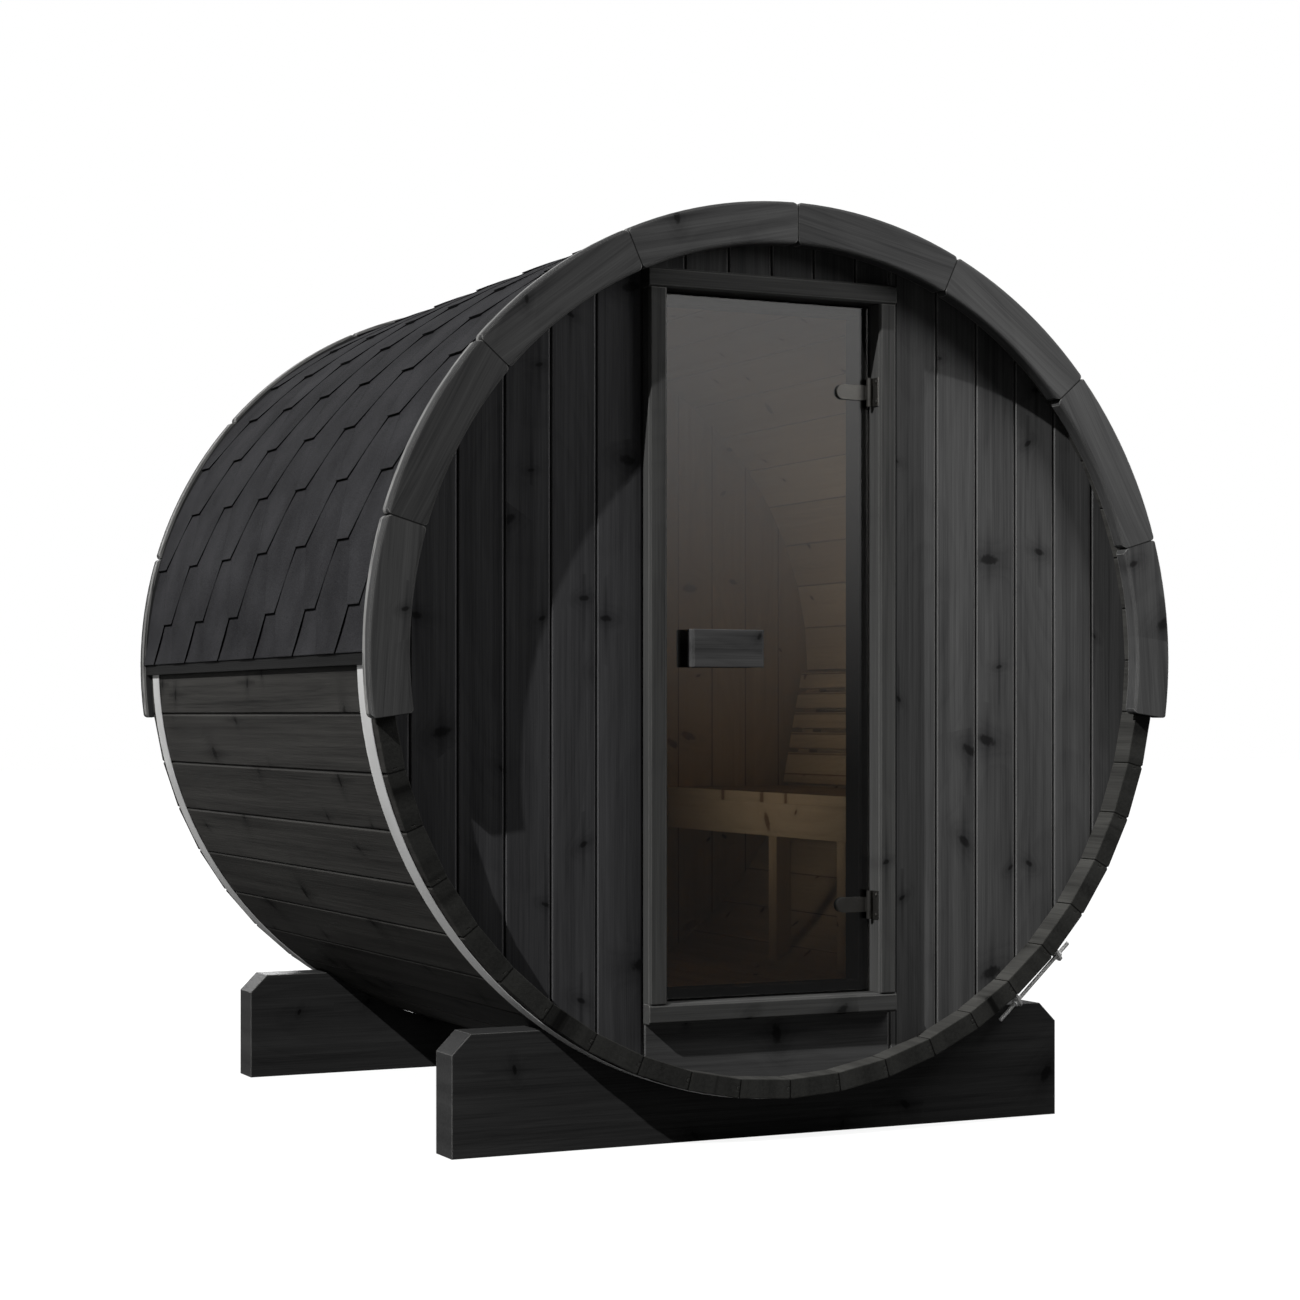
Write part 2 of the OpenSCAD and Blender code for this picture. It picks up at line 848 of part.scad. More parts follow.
// Half of the outline that rounds the ends of a trim board, from its outer to its inner edge
function trim_end() =
    let (half = trim_deg / 2,
         side = joint_gap / 2 + trim_corner,
         along = [sin(half), cos(half)],
         across = [-cos(half), sin(half)],
         outer = (trim_out - trim_corner) * along + side * across,
         inner = (trim_in + trim_corner) * along + side * across,
         high = corner_arc(outer, -half + corner_turn, -corner_turn),
         low = corner_arc(inner, -half, -corner_turn))
    concat(
        [high[0] + trim_corner * (along + across)],
        high,
        low,
        [low[corner_steps] + trim_corner * (across - along)]
    );

// One board of the ring, standing upright over the middle of its arc
module trim_board() {
    half = trim_deg / 2;
    right = trim_end();
    n = len(right);
    high = trim_t - trim_round;
    intersection() {
        rotate([0, 0, 90 - half])
            rotate_extrude(angle = trim_deg, $fn = round_fn)
                polygon(concat(
                    [[trim_in, 0], [trim_out, 0]],
                    edge_arc([trim_out - trim_round, high], 0),
                    edge_arc([trim_in + trim_round, high], 90)
                ));
        translate([0, 0, -over])
            linear_extrude(trim_t + 2 * over)
                polygon(concat(
                    [[0, trim_out / cos(half)]],
                    right,
                    [for (k = [n - 1 : -1 : 0]) mirror_x(right[k])]
                ));
    }
}

// The boards on one side, from the top down
module trim_side(first) {
    color(stain)
        for (k = [0 : trim_per_side - 1])
            translate([0, -stave_len / 2 - fit, axis_z])
                rotate([0, first * (k + 0.5) * trim_deg, 0])
                    rotate([90, 0, 0])
                        trim_board();
}

module front_trim_right() { trim_side(1); }
module front_trim_left() { trim_side(-1); }
module rear_trim_right() { at_rear() trim_side(1); }
module rear_trim_left() { at_rear() trim_side(-1); }

// Floor
floor_half_w = sqrt(inside_r * inside_r - pow(floor_under - axis_z, 2));
floor_count = floor((2 * floor_half_w + floor_gap) / (floor_board_w + floor_gap));
floor_span = floor_count * (floor_board_w + floor_gap) - floor_gap;
floor_front = max(frame_back, -wall_inner) + joint_gap;

module floor_boards() {
    color(bare_wood)
        for (i = [0 : floor_count - 1]) {
            x = -floor_span / 2 + i * (floor_board_w + floor_gap);
            board(
                [x, floor_front, floor_under],
                [x + floor_board_w, bench_len / 2, floor_top]
            );
        }
}

// Bearers with round undersides that lie in the curve of the barrel
module floor_bearers() {
    reach = wall_inner - bearer_inset;
    color(bare_wood_dark)
        intersection() {
            for (y = [-reach, 0, reach])
                board(
                    [-barrel_r, y - bearer_t / 2, axis_z - barrel_r],
                    [barrel_r, y + bearer_t / 2, floor_under]
                );
            inside_round();
        }
}

// Bench
seat_bearer_y = [
    -bench_len / 2,
    -post_spacing / 2 - post_t / 2,
    post_spacing / 2 - post_t / 2,
    bench_len / 2 - post_t
];
bearer_x = bench_x + front_board_t;
bearer_low = seat_under - seat_bearer_h;

module bench_seat() {
    color(bare_wood)
        for (i = [0 : seat_count - 1]) {
            x = bench_x + i * (seat_board_w + seat_gap);
            board(
                [x, -bench_len / 2, seat_under],
                [x + seat_board_w, bench_len / 2, seat_top]
            );
        }
}

module bench_front_board() {
    color(bare_wood)
        board(
            [bench_x, -bench_len / 2, seat_under - front_board_h],
            [bearer_x, bench_len / 2, seat_under]
        );
}

module bench_bearers() {
    color(bare_wood_dark)
        intersection() {
            for (y = seat_bearer_y)
                board([bearer_x, y, bearer_low], [barrel_r, y + post_t, seat_under]);
            inside_round();
        }
}

module bench_posts() {
    color(bare_wood_dark)
        intersection() {
            for (y = [seat_bearer_y[1], seat_bearer_y[2]])
                board([bearer_x, y, 0], [bearer_x + post_t, y + post_t, bearer_low]);
            inside_round();
        }
}

// Backrest
module at_backrest() {
    translate([backrest_x, 0, backrest_z])
        rotate([0, backrest_lean, 0])
            children();
}

slat_len = room_len - 2 * slat_end_gap;

module slat(z, h) {
    board([-slat_t, -slat_len / 2, z], [0, slat_len / 2, z + h]);
}

module backrest_slats() {
    color(bare_wood)
        at_backrest() {
            slat(0, low_slat_h);
            for (i = [1 : slat_count])
                slat(low_slat_h + i * slat_pitch - slat_h, slat_h);
        }
}

// Uprights between the slats and the curve of the staves
module backrest_uprights() {
    reach = slat_len / 2 - upright_w;
    color(bare_wood_dark)
        intersection() {
            at_backrest()
                for (y = [-reach, 0, reach])
                    board([0, y - upright_w / 2, 0], [barrel_r, y + upright_w / 2, backrest_h]);
            inside_round();
        }
}

cradle_front();
cradle_rear();
staves_upper_right();
staves_crown();
staves_upper_left();
staves_lower_left();
staves_bottom();
staves_lower_right();
front_wall_left();
front_wall_right();
front_wall_over_door();
front_wall_under_door();
back_wall();
door_jamb_left();
door_jamb_right();
door_head();
door_sill();
door_stops();
door_glass();
door_handle();
hinge_leaves();
hinge_jamb_plates();
hoop_front();
hoop_rear();
hoop_bolt_front();
hoop_bolt_rear();
roof_cover_left();
roof_cover_right();
ridge_strip();
eaves_batten_left();
eaves_batten_right();
front_trim_left();
front_trim_right();
rear_trim_left();
rear_trim_right();
floor_boards();
floor_bearers();
bench_seat();
bench_front_board();
bench_bearers();
bench_posts();
backrest_slats();
backrest_uprights();
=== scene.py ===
"""Dresses the solids of a barrel sauna, adds its small pieces, and sets up its studio."""

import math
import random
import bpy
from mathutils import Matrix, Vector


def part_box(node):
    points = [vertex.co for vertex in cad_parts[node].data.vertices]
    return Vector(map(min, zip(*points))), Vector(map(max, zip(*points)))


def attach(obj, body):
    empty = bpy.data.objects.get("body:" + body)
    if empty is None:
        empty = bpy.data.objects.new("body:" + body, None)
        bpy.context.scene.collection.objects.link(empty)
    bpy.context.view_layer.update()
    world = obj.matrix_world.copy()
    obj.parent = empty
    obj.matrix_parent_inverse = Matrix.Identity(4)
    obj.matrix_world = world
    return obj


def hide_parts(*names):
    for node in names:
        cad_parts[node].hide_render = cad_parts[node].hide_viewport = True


bl_info = {
    "name": "Barrel Sauna",
    "version": (1, 0, 0),
    "blender": (4, 5, 0),
    "location": "View3D > Sidebar > Sauna",
    "description": "Dresses the solids of a barrel sauna and sets up its studio",
    "category": "Object",
}

import bmesh
import bpy
from bpy.props import FloatProperty, FloatVectorProperty, IntProperty, PointerProperty
from mathutils import Matrix, Vector

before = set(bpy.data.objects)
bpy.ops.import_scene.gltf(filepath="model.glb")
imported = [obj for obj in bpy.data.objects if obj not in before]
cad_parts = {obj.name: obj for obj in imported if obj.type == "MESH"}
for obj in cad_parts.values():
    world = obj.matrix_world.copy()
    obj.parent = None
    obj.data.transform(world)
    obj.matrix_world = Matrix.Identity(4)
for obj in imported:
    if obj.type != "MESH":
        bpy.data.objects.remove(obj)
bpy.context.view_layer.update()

SAUNA = "sauna"
DOOR = "door"

STAVES = (
    "staves_upper_right",
    "staves_crown",
    "staves_upper_left",
    "staves_lower_left",
    "staves_bottom",
    "staves_lower_right",
)
TRIM = ("front_trim_left", "front_trim_right", "rear_trim_left", "rear_trim_right")


# Places read from the solids
def low(node, axis):
    """Lowest place of a node along an axis."""
    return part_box(node)[0]["xyz".index(axis)]


def high(node, axis):
    """Highest place of a node along an axis."""
    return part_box(node)[1]["xyz".index(axis)]


AXIS_Z = (high("staves_crown", "z") + low("staves_bottom", "z")) / 2
STAVE_END = high("staves_crown", "y")
STAVE_R = high("staves_crown", "z") - AXIS_Z
TRIM_R = high("front_trim_left", "z") - AXIS_Z
WALL_FACE = low("front_wall_left", "y")
WALL_BACK = high("front_wall_left", "y")
ROOF_END = high("roof_cover_left", "y")
HOOP_MID = (low("hoop_front", "y") + high("hoop_front", "y")) / 2
ROOF_R = low("eaves_batten_right", "x")


# Kinds of property
def metres(name, description, length):
    return FloatProperty(name=name, description=description, default=length, unit="LENGTH")


def degrees(name, description, angle):
    angle = math.radians(angle)
    return FloatProperty(name=name, description=description, default=angle, subtype="ANGLE")


def level(name, description, amount):
    return FloatProperty(name=name, description=description, default=amount)


def paint(name, description, colour):
    return FloatVectorProperty(name=name, description=description, default=colour, subtype="COLOR")


# A share of the walls' stain that paints shade on a piece, and light where it is above one
def painted_light_share(name, where, share):
    description = f"Stain {where}, as a share of the plain walls'"
    return FloatVectorProperty(name=name, description=description, default=share)


def point(name, description, place):
    return FloatVectorProperty(
        name=name, description=description, default=place, subtype="TRANSLATION"
    )


# Sizes and colours that a user would change
class SaunaSizes(bpy.types.PropertyGroup):
    """Sizes of the pieces that are made here, and of the boards that the grain follows"""

    stave_count: IntProperty(
        name="Staves", description="Number of staves round the barrel", default=48, min=8
    )
    stave_thickness: metres("Stave thickness", "Thickness of a stave", 0.044)
    wall_board: metres("Wall board", "Width that one wall board covers", 0.1105)
    wall_joint: metres("Wall joint", "Place of a board joint across the wall", -0.017)
    trim_board: degrees("Trim board", "Angle that one trim board covers", 24.5)
    trim_width: metres("Trim width", "Width of a trim board", 0.096)
    course_height: metres("Course", "Height of a course of shingles that shows", 0.1515)
    first_course: metres("First course", "Height of the lowest tabs above the eaves", 0.104)
    tab_pitch: metres("Tab pitch", "Distance from one tab to the next", 0.297)
    tab_foot: metres("Tab foot", "Width of a tab's lower edge", 0.079)
    tab_shift: metres("Tab shift", "Place of a tab in the lowest course", 0.105)
    shingle_thickness: metres("Shingle thickness", "Thickness of a shingle", 0.0030)
    ridge_thickness: metres("Ridge thickness", "Thickness of a ridge cap", 0.0022)
    kick_out: metres("Kick out", "How far the shingles kick out at the eaves", 0.0085)
    shingle_lap: metres(
        "Shingle lap", "Height that a course runs under the second course above it", 0.010
    )
    kick_height: metres("Kick", "Height over which the shingles kick out above the eaves", 0.080)
    ridge_width: metres("Ridge width", "Width of a ridge cap across the roof", 0.280)
    bolt_angle: degrees(
        "Bolt angle", "Angle of a hoop bolt round the barrel, from the right-hand side", -47.4
    )
    bolt_height: metres("Bolt height", "Height of a hoop bolt over the barrel", 0.036)
    bolt_radius: metres("Bolt radius", "Radius of a hoop bolt", 0.005)
    lug_face: metres(
        "Lug face", "Distance from the middle of a hoop bolt to the outer face of a lug", 0.080
    )
    bolt_head: metres("Bolt head", "Length of bolt beyond the upper lug", 0.042)
    bolt_tail: metres("Bolt tail", "Length of bolt beyond the lower lug", 0.064)
    thread_pitch: metres("Thread pitch", "Pitch of the thread on a hoop bolt", 0.0015)
    nut_radius: metres("Nut radius", "Radius of a nut across its corners", 0.009)
    nut_height: metres("Nut height", "Height of a nut", 0.008)
    finger_space: metres("Finger space", "Space between the inner handle and the glass", 0.016)
    handle_foot: metres("Handle foot", "Length of the inner handle's foot on the glass", 0.098)
    foot_inset: metres("Foot inset", "How far the foot stands back from the handle's edges", 0.014)
    handle_ease: metres("Handle ease", "Rounding of the inner handle's edges", 0.004)
    screw_radius: metres("Screw radius", "Radius of a hinge screw's head", 0.0042)


class SaunaFinishes(bpy.types.PropertyGroup):
    """Colours of the finishes, and shares of stain that paint light and shade on some pieces"""

    stain_dark: paint("Stain, dark", "Stain in the dark grain", (0.0115, 0.0115, 0.012))
    stain_light: paint("Stain, light", "Stain in the light grain", (0.076, 0.076, 0.0755))
    stain_knot: paint("Stained knot", "Stain on a knot", (0.0055, 0.0055, 0.0055))
    # Pale stain along the edges: partly wear, partly a painted highlight; on a trim board's sawn
    # edge, a painted highlight only
    stain_wear_and_highlight: paint("Stain, worn", "Stain worn thin along an edge", (0.24, 0.238, 0.232))
    # Painted shade: darker copies of the walls' stain on the staves, their ends and the rim inside
    # their ends
    stave_painted_shade: painted_light_share("Stave coat", "of the staves", (0.72, 0.70, 0.66))
    end_painted_shade: painted_light_share("End coat", "of the staves' ends", (0.50, 0.50, 0.47))
    rim_painted_shade: painted_light_share("Rim coat", "of the staves inside their ends", (0.86, 0.85, 0.80))
    # Painted shade: the door frame is a little darker than the walls' stain
    frame_painted_shade: painted_light_share("Frame coat", "of the door frame", (0.9, 0.9, 0.88))
    # Painted shadow: the stops behind the glass are darkened as if in the head's shadow
    stop_painted_shade: painted_light_share("Stop coat", "of the door stops", (0.25, 0.25, 0.26))
    # Painted shadow: the eaves battens are darkened as if under the shingles' overhang
    batten_painted_shade: painted_light_share("Batten coat", "of the eaves battens", (0.24, 0.24, 0.24))
    # Painted light: the wall right of the door is lighter than the plain walls
    right_coat: painted_light_share("Right coat", "right of the door", (1.18, 1.18, 1.18))
    # Painted shade: the cradles are darker copies of the walls' stain
    cradle_painted_shade: painted_light_share("Cradle coat", "of the cradles", (0.60, 0.60, 0.60))
    # Painted shade: the wall left of the door is darker than the plain walls
    left_coat: painted_light_share("Left coat", "left of the door", (0.76, 0.76, 0.79))
    bare_dark: paint("Bare wood, dark", "Late wood of a bare board", (0.36, 0.225, 0.11))
    bare_light: paint("Bare wood, light", "Early wood of a bare board", (0.63, 0.47, 0.28))
    bare_knot: paint("Bare knot", "A knot in a bare board", (0.15, 0.065, 0.025))
    steel: paint("Steel", "Zinc-coated steel of the hoops", (0.86, 0.86, 0.85))
    black_metal: paint("Black metal", "Coating of the hinges", (0.058, 0.056, 0.052))
    glass: paint("Glass", "Tint of one face of the glass", (0.36, 0.35, 0.335))
    bitumen_dark: paint("Shingle, dark", "Dark grit of the shingles", (0.006, 0.006, 0.0065))
    bitumen_light: paint("Shingle, light", "Light grit of the shingles", (0.060, 0.060, 0.064))


class SaunaStudio(bpy.types.PropertyGroup):
    """Camera and light"""

    camera_place: point("Camera", "Place of the camera", (-2.9319, -6.2794, 0.9738))
    camera_heading: degrees("Heading", "Turn of the camera to the left", -25.544)
    lens: level("Lens", "Focal length in millimetres", 74.385)
    shift: level("Shift", "Rise of the lens, as a share of the frame", 0.04995)
    key: level("Key", "Strength of the key light", 5.2)
    key_spread: degrees("Key spread", "Angle over which the key light spreads", 0.6)
    key_aim: FloatVectorProperty(
        name="Key aim",
        description="Direction in which the key light shines",
        subtype="DIRECTION",
        default=(0.738, 0.236, -0.632),
    )
    fill: level("Fill", "Power of the fill light", 62.0)
    fill_place: point("Fill place", "Place of the fill light", (1.75, -2.0, 2.65))
    back: level("Back", "Power of the light behind", 75.0)
    back_place: point("Back place", "Place of the light behind", (-0.3, 3.6, 1.3))
    side: level("Side", "Power of the light on the right", 75.0)
    side_place: point("Side place", "Place of the light on the right", (4.0, 0.7, 1.7))
    sky: level("Sky", "Light that comes from all round", 0.035)
    floor_glow: level("Floor glow", "White that the floor shows beside the light on it", 0.89)
    room: level("Room", "Power of the light in the room", 1.1)
    room_place: point("Room place", "Place of the light in the room", (-0.8, -0.05, 0.80))
    room_aim: point("Room aim", "Spot that the light in the room shines at", (0.5, 0.1, 1.08))
    room_size: metres("Room lamp", "Width of the light in the room", 0.4)
    room_spread: degrees("Room spread", "Angle over which the light in the room spreads", 62)
    lamp_size: metres("Lamp size", "Width of the lights round the sauna", 1.5)
    low_gloss: level("Low gloss", "Share of the white that gloss shows below the horizon", 0.07)


# Node trees
WHITE = (1.0, 1.0, 1.0)
EDGE_EASE = 0.004
EDGE_SAMPLES = 4
EDGE_TURN = (0.99, 0.85)


class Nodes:
    """Short calls for the nodes of a material or a world."""

    def __init__(self, owner):
        owner.use_nodes = True
        self.tree = owner.node_tree

    def put(self, socket, value):
        """Feeds a socket from another one, or sets its value."""
        if isinstance(value, bpy.types.NodeSocket):
            self.tree.links.new(value, socket)
        elif isinstance(value, (tuple, list)) and socket.type == "RGBA" and len(value) == 3:
            socket.default_value = (*value, 1.0)
        else:
            socket.default_value = value

    def node(self, kind, inputs, **settings):
        """A new node with its settings, and its inputs by name or number."""
        node = self.tree.nodes.new("ShaderNode" + kind)
        for key, value in settings.items():
            setattr(node, key, value)
        for key, value in inputs.items():
            self.put(node.inputs[key], value)
        return node

    def math(self, operation, *values):
        node = self.node("Math", dict(enumerate(values)), operation=operation)
        return node.outputs[0]

    def add(self, a, b):
        return self.math("ADD", a, b)

    def minus(self, a, b):
        return self.math("SUBTRACT", a, b)

    def times(self, a, b):
        return self.math("MULTIPLY", a, b)

    def scaled(self, a, by, plus=0.0):
        return self.math("MULTIPLY_ADD", a, by, plus)

    def floor(self, a):
        return self.math("FLOOR", a)

    def vector(self, x, y, z):
        return self.node("CombineXYZ", {0: x, 1: y, 2: z}).outputs[0]

    def spread(self, value, start, end):
        """0 at start, 1 at end, and held there beyond them."""
        inputs = {"Value": value, "From Min": start, "From Max": end}
        return self.node("MapRange", inputs).outputs[0]

    def noise(self, vector, detail, scale=1.0):
        node = self.node("TexNoise", {"Vector": vector, "Scale": scale, "Detail": detail})
        return node.outputs["Fac"]

    def drawn_out(self, rates, along, across, depth, detail):
        """Noise drawn out along the grain, by its repeats per metre along and across it."""
        spot = self.vector(self.scaled(along, rates[0]), self.scaled(across, rates[1]), depth)
        return self.noise(spot, detail)

    def length(self, a, b):
        """Length of the long side over two sides at a right angle."""
        return self.math("SQRT", self.add(self.times(a, a), self.times(b, b)))

    def bell(self, a):
        """1 at 0, and falling away on both sides."""
        return self.math("EXPONENT", self.scaled(self.times(a, a), -1.0))

    def blend(self, share, a, b):
        node = self.node("Mix", {0: share, 6: a, 7: b}, data_type="RGBA")
        return node.outputs[2]


class Finish(Nodes):
    """A material's nodes, with the places in metres that they start from."""

    def __init__(self, name):
        self.material = bpy.data.materials.new(name)
        super().__init__(self.material)
        self.shader = self.tree.nodes["Principled BSDF"]
        self.sizes = bpy.context.scene.sauna_sizes
        self.colours = bpy.context.scene.sauna_finishes
        coordinates = self.node("TexCoord", {}).outputs["Object"]
        self.x, self.y, self.z = self.node("SeparateXYZ", {0: coordinates}).outputs

    def bump(self, height, distance, strength, normal=None):
        inputs = {"Height": height, "Distance": distance, "Strength": strength}
        if normal:
            inputs["Normal"] = normal
        self.put(self.shader.inputs["Normal"], self.node("Bump", inputs).outputs[0])

    def edges(self):
        """A normal eased round the edges, and a mask of the edges."""
        eased = self.node("Bevel", {"Radius": EDGE_EASE}, samples=EDGE_SAMPLES).outputs[0]
        flat = self.node("NewGeometry", {}).outputs["Normal"]
        turn = self.node("VectorMath", {0: eased, 1: flat}, operation="DOT_PRODUCT")
        return eased, self.spread(turn.outputs["Value"], *EDGE_TURN)

    def set(self, **values):
        """Sets inputs of the shader, with an underscore for a space in their names."""
        for key, value in values.items():
            self.put(self.shader.inputs[key.replace("_", " ")], value)

    def show(self, share, other):
        """Shows another shader by a share, in place of the material's own."""
        mix = self.node("MixShader", {0: share, 1: self.shader.outputs[0], 2: other.outputs[0]})
        self.put(self.tree.nodes["Material Output"].inputs["Surface"], mix.outputs[0])


# Timber: sizes in metres, and repeats per metre along and across the grain
KNOT_CELL = 0.19
KNOT_SHARE = 0.45
KNOT_LENGTH = 2.0
KNOT_SMALL = 0.0045
KNOT_GROWTH = 0.010
KNOT_SWELL = 0.010
KNOT_RIM = (1.15, 0.65)
KNOT_SLANT = (2.0, 0.6)
TAIL_LENGTH = 0.09
TAIL_WIDTH = 0.8
HALO_REACH = 0.36
RING = 0.0044
LATE_POWER = 2.5
LATE_END = 0.86
PITH_OFF = 0.09
PITH_DEPTH = 0.05
WAVE_SIZE = 0.012
SWAY_SIZE = 0.07
BOARD_SHIFT = (23.0, 3.7)
SWAY_RATES = (0.9, 2.0)
WAVE_RATES = (2.2, 11.0)
FIBRE_RATES = (8.0, 420.0)
STREAK_RATES = (1.3, 150.0)
PATCH_RATES = (0.9, 23.0)
OUTLINE_RATES = (90.0, 130.0)
OUTLINE_DEPTH = 0.9
TRIM_SEED = 40.0
TRIM_END_SEED = 17.0
GAP_SOFT = 0.0024
GAP_DARK = 0.0010

# A base and the weights of the grain's masks over it
STAIN_TONE = -0.46, {"patch": 0.8, "tone": 0.17, "fibre": 0.45, "streak": 0.5, "late": -0.08}
STAIN_ROUGH = 0.40, {"fibre": 0.18, "late": -0.08}
BARE_TONE = -0.5, {"late": 0.22, "patch": 0.6, "streak": 0.5, "tone": 0.4}
BARE_ROUGH = 0.5, {"fibre": 0.2}
RELIEF = 0.0, {"late": 0.4, "fibre": 0.4, "streak": 0.5, "knot": -0.4}

# Masks that show as marks, with their shares and colours
STAIN_MARKS = {
    "tail": (0.55, "stain_dark"),
    "halo": (0.45, "stain_dark"),
    "knot": (0.8, "stain_knot"),
}
STAIN_JOINTS = {"gap": (0.9, "stain_knot")}
BARE_MARKS = {
    "halo": (0.3, "bare_dark"),
    "knot": (0.8, "bare_knot"),
    "gap": (0.75, "bare_knot"),
}

# How far the stain is worn along the edges, which also paints a highlight there, and the painted
# highlight on a sawn edge
EDGE_WEAR_AND_HIGHLIGHT = 0.85
FRAME_WEAR_AND_HIGHLIGHT = 0.45
LITTLE_WEAR_AND_HIGHLIGHT = 0.2
HIGHLIGHT_STREAKS = (0.3, 0.55)
SAWN_HIGHLIGHT = 0.75
DULL = 0.02
RELIEF_HEIGHT = 0.0005
RELIEF_SHARE = 0.6


class Grain:
    """Rings, fibres, streaks, patches and knots of a board, in metres along, across and into it."""

    def __init__(self, f, along, across, depth, board, to_joint):
        chance = f.node("TexWhiteNoise", {"W": board}, noise_dimensions="1D")
        first, second, third = f.node("SeparateColor", {0: chance.outputs["Color"]}).outputs
        self.tone = first
        self.gap = f.spread(to_joint, GAP_SOFT, GAP_DARK)
        along = f.scaled(first, BOARD_SHIFT[0], along)
        side = f.scaled(second, BOARD_SHIFT[1], across)
        self.add_knots(f, along, side)

        sway = f.drawn_out(SWAY_RATES, along, side, third, 1.0)
        wave = f.drawn_out(WAVE_RATES, along, side, depth, 2.0)
        aside = f.scaled(wave, WAVE_SIZE, (PITH_OFF - WAVE_SIZE) / 2)
        from_pith = f.add(f.scaled(second, -PITH_OFF, across), aside)
        pith_depth = f.scaled(sway, SWAY_SIZE, f.scaled(third, PITH_DEPTH, depth))
        rings = f.scaled(self.halo, KNOT_SWELL, f.length(from_pith, pith_depth))
        year = f.math("FRACT", f.scaled(rings, 1 / RING))
        late = f.math("POWER", year, LATE_POWER)
        self.late = f.times(late, f.spread(year, 1.0, LATE_END))

        fibre_depth = f.scaled(depth, FIBRE_RATES[1])
        self.fibre = f.drawn_out(FIBRE_RATES, along, side, fibre_depth, 2.0)
        streak_depth = f.scaled(depth, STREAK_RATES[1])
        self.streak = f.drawn_out(STREAK_RATES, along, side, streak_depth, 3.0)
        self.patch = f.drawn_out(PATCH_RATES, along, side, third, 3.0)

    def weighed(self, f, recipe):
        """A base with some of the masks added, each times its weight."""
        total, weights = recipe
        for mask, weight in weights.items():
            total = f.scaled(getattr(self, mask), weight, total)
        return total

    def marked(self, f, wood, marks):
        """Wood with some of the masks laid over it, each by its share and in its colour."""
        for mask, (share, colour) in marks.items():
            cover = f.scaled(getattr(self, mask), share)
            wood = f.blend(cover, wood, getattr(f.colours, colour)[:])
        return wood

    def add_knots(self, f, along, side):
        """Knots of uneven outline, each with a dark tail along the grain."""
        cell = f.vector(f.scaled(along, 1 / KNOT_CELL), f.scaled(side, 1 / KNOT_CELL), 0.0)
        knots = f.node("TexVoronoi", {"Vector": cell, "Scale": 1.0}, voronoi_dimensions="2D")
        chance, girth, slant = f.node("SeparateColor", {0: knots.outputs["Color"]}).outputs
        there = f.math("GREATER_THAN", chance, KNOT_SHARE)
        size = f.scaled(f.math("POWER", girth, 2.0), KNOT_GROWTH, KNOT_SMALL)
        ends = {0: cell, 1: knots.outputs["Position"]}
        away = f.node("VectorMath", ends, operation="SUBTRACT").outputs[0]
        u, v, _ = f.node("SeparateXYZ", {0: away}).outputs
        u, v = f.scaled(u, KNOT_CELL), f.scaled(v, KNOT_CELL)
        turn = f.scaled(slant, *KNOT_SLANT)
        sine, cosine = f.math("SINE", turn), f.math("COSINE", turn)
        long = f.add(f.times(u, cosine), f.times(v, sine))
        short = f.minus(f.times(v, cosine), f.times(u, sine))
        reach = f.math("DIVIDE", f.length(f.scaled(long, 1 / KNOT_LENGTH), short), size)
        uneven = f.drawn_out(OUTLINE_RATES, along, side, chance, 2.0)
        reach = f.add(reach, f.scaled(uneven, OUTLINE_DEPTH, -OUTLINE_DEPTH / 2))
        self.knot = f.times(there, f.spread(reach, *KNOT_RIM))
        self.halo = f.times(there, f.bell(f.scaled(reach, HALO_REACH)))
        narrow = f.bell(f.math("DIVIDE", v, f.scaled(size, TAIL_WIDTH)))
        tail = f.times(f.bell(f.scaled(u, 1 / TAIL_LENGTH)), narrow)
        self.tail = f.times(there, tail)


def lengthwise(along, across, depth, pitch, start, seed):
    """Straight boards: their axes, their pitch side by side, the first joint and a seed."""

    def place(f):
        sockets = {"x": f.x, "y": f.y, "z": f.z}
        board = f.floor(f.scaled(sockets[across], 1 / pitch, -start / pitch))
        middle = f.scaled(board, pitch, start + pitch / 2)
        local = f.minus(sockets[across], middle)
        to_joint = f.scaled(f.math("ABSOLUTE", local), -1.0, pitch / 2)
        return sockets[along], local, sockets[depth], f.add(board, seed), to_joint

    return place


def round_barrel(f):
    """Staves: the grain runs along the barrel, and each stave covers its share of the circle."""
    step = 2 * math.pi / f.sizes.stave_count
    up = f.add(f.z, -AXIS_Z)
    angle = f.math("ARCTAN2", up, f.x)
    board = f.floor(f.scaled(angle, 1 / step))
    local = f.minus(angle, f.scaled(board, step, step / 2))
    across = f.scaled(local, STAVE_R)
    to_joint = f.scaled(f.math("ABSOLUTE", across), -1.0, STAVE_R * step / 2)
    return f.y, across, f.add(barrel_radius(f), -STAVE_R), board, to_joint


def barrel_radius(f):
    return f.length(f.x, f.add(f.z, -AXIS_Z))


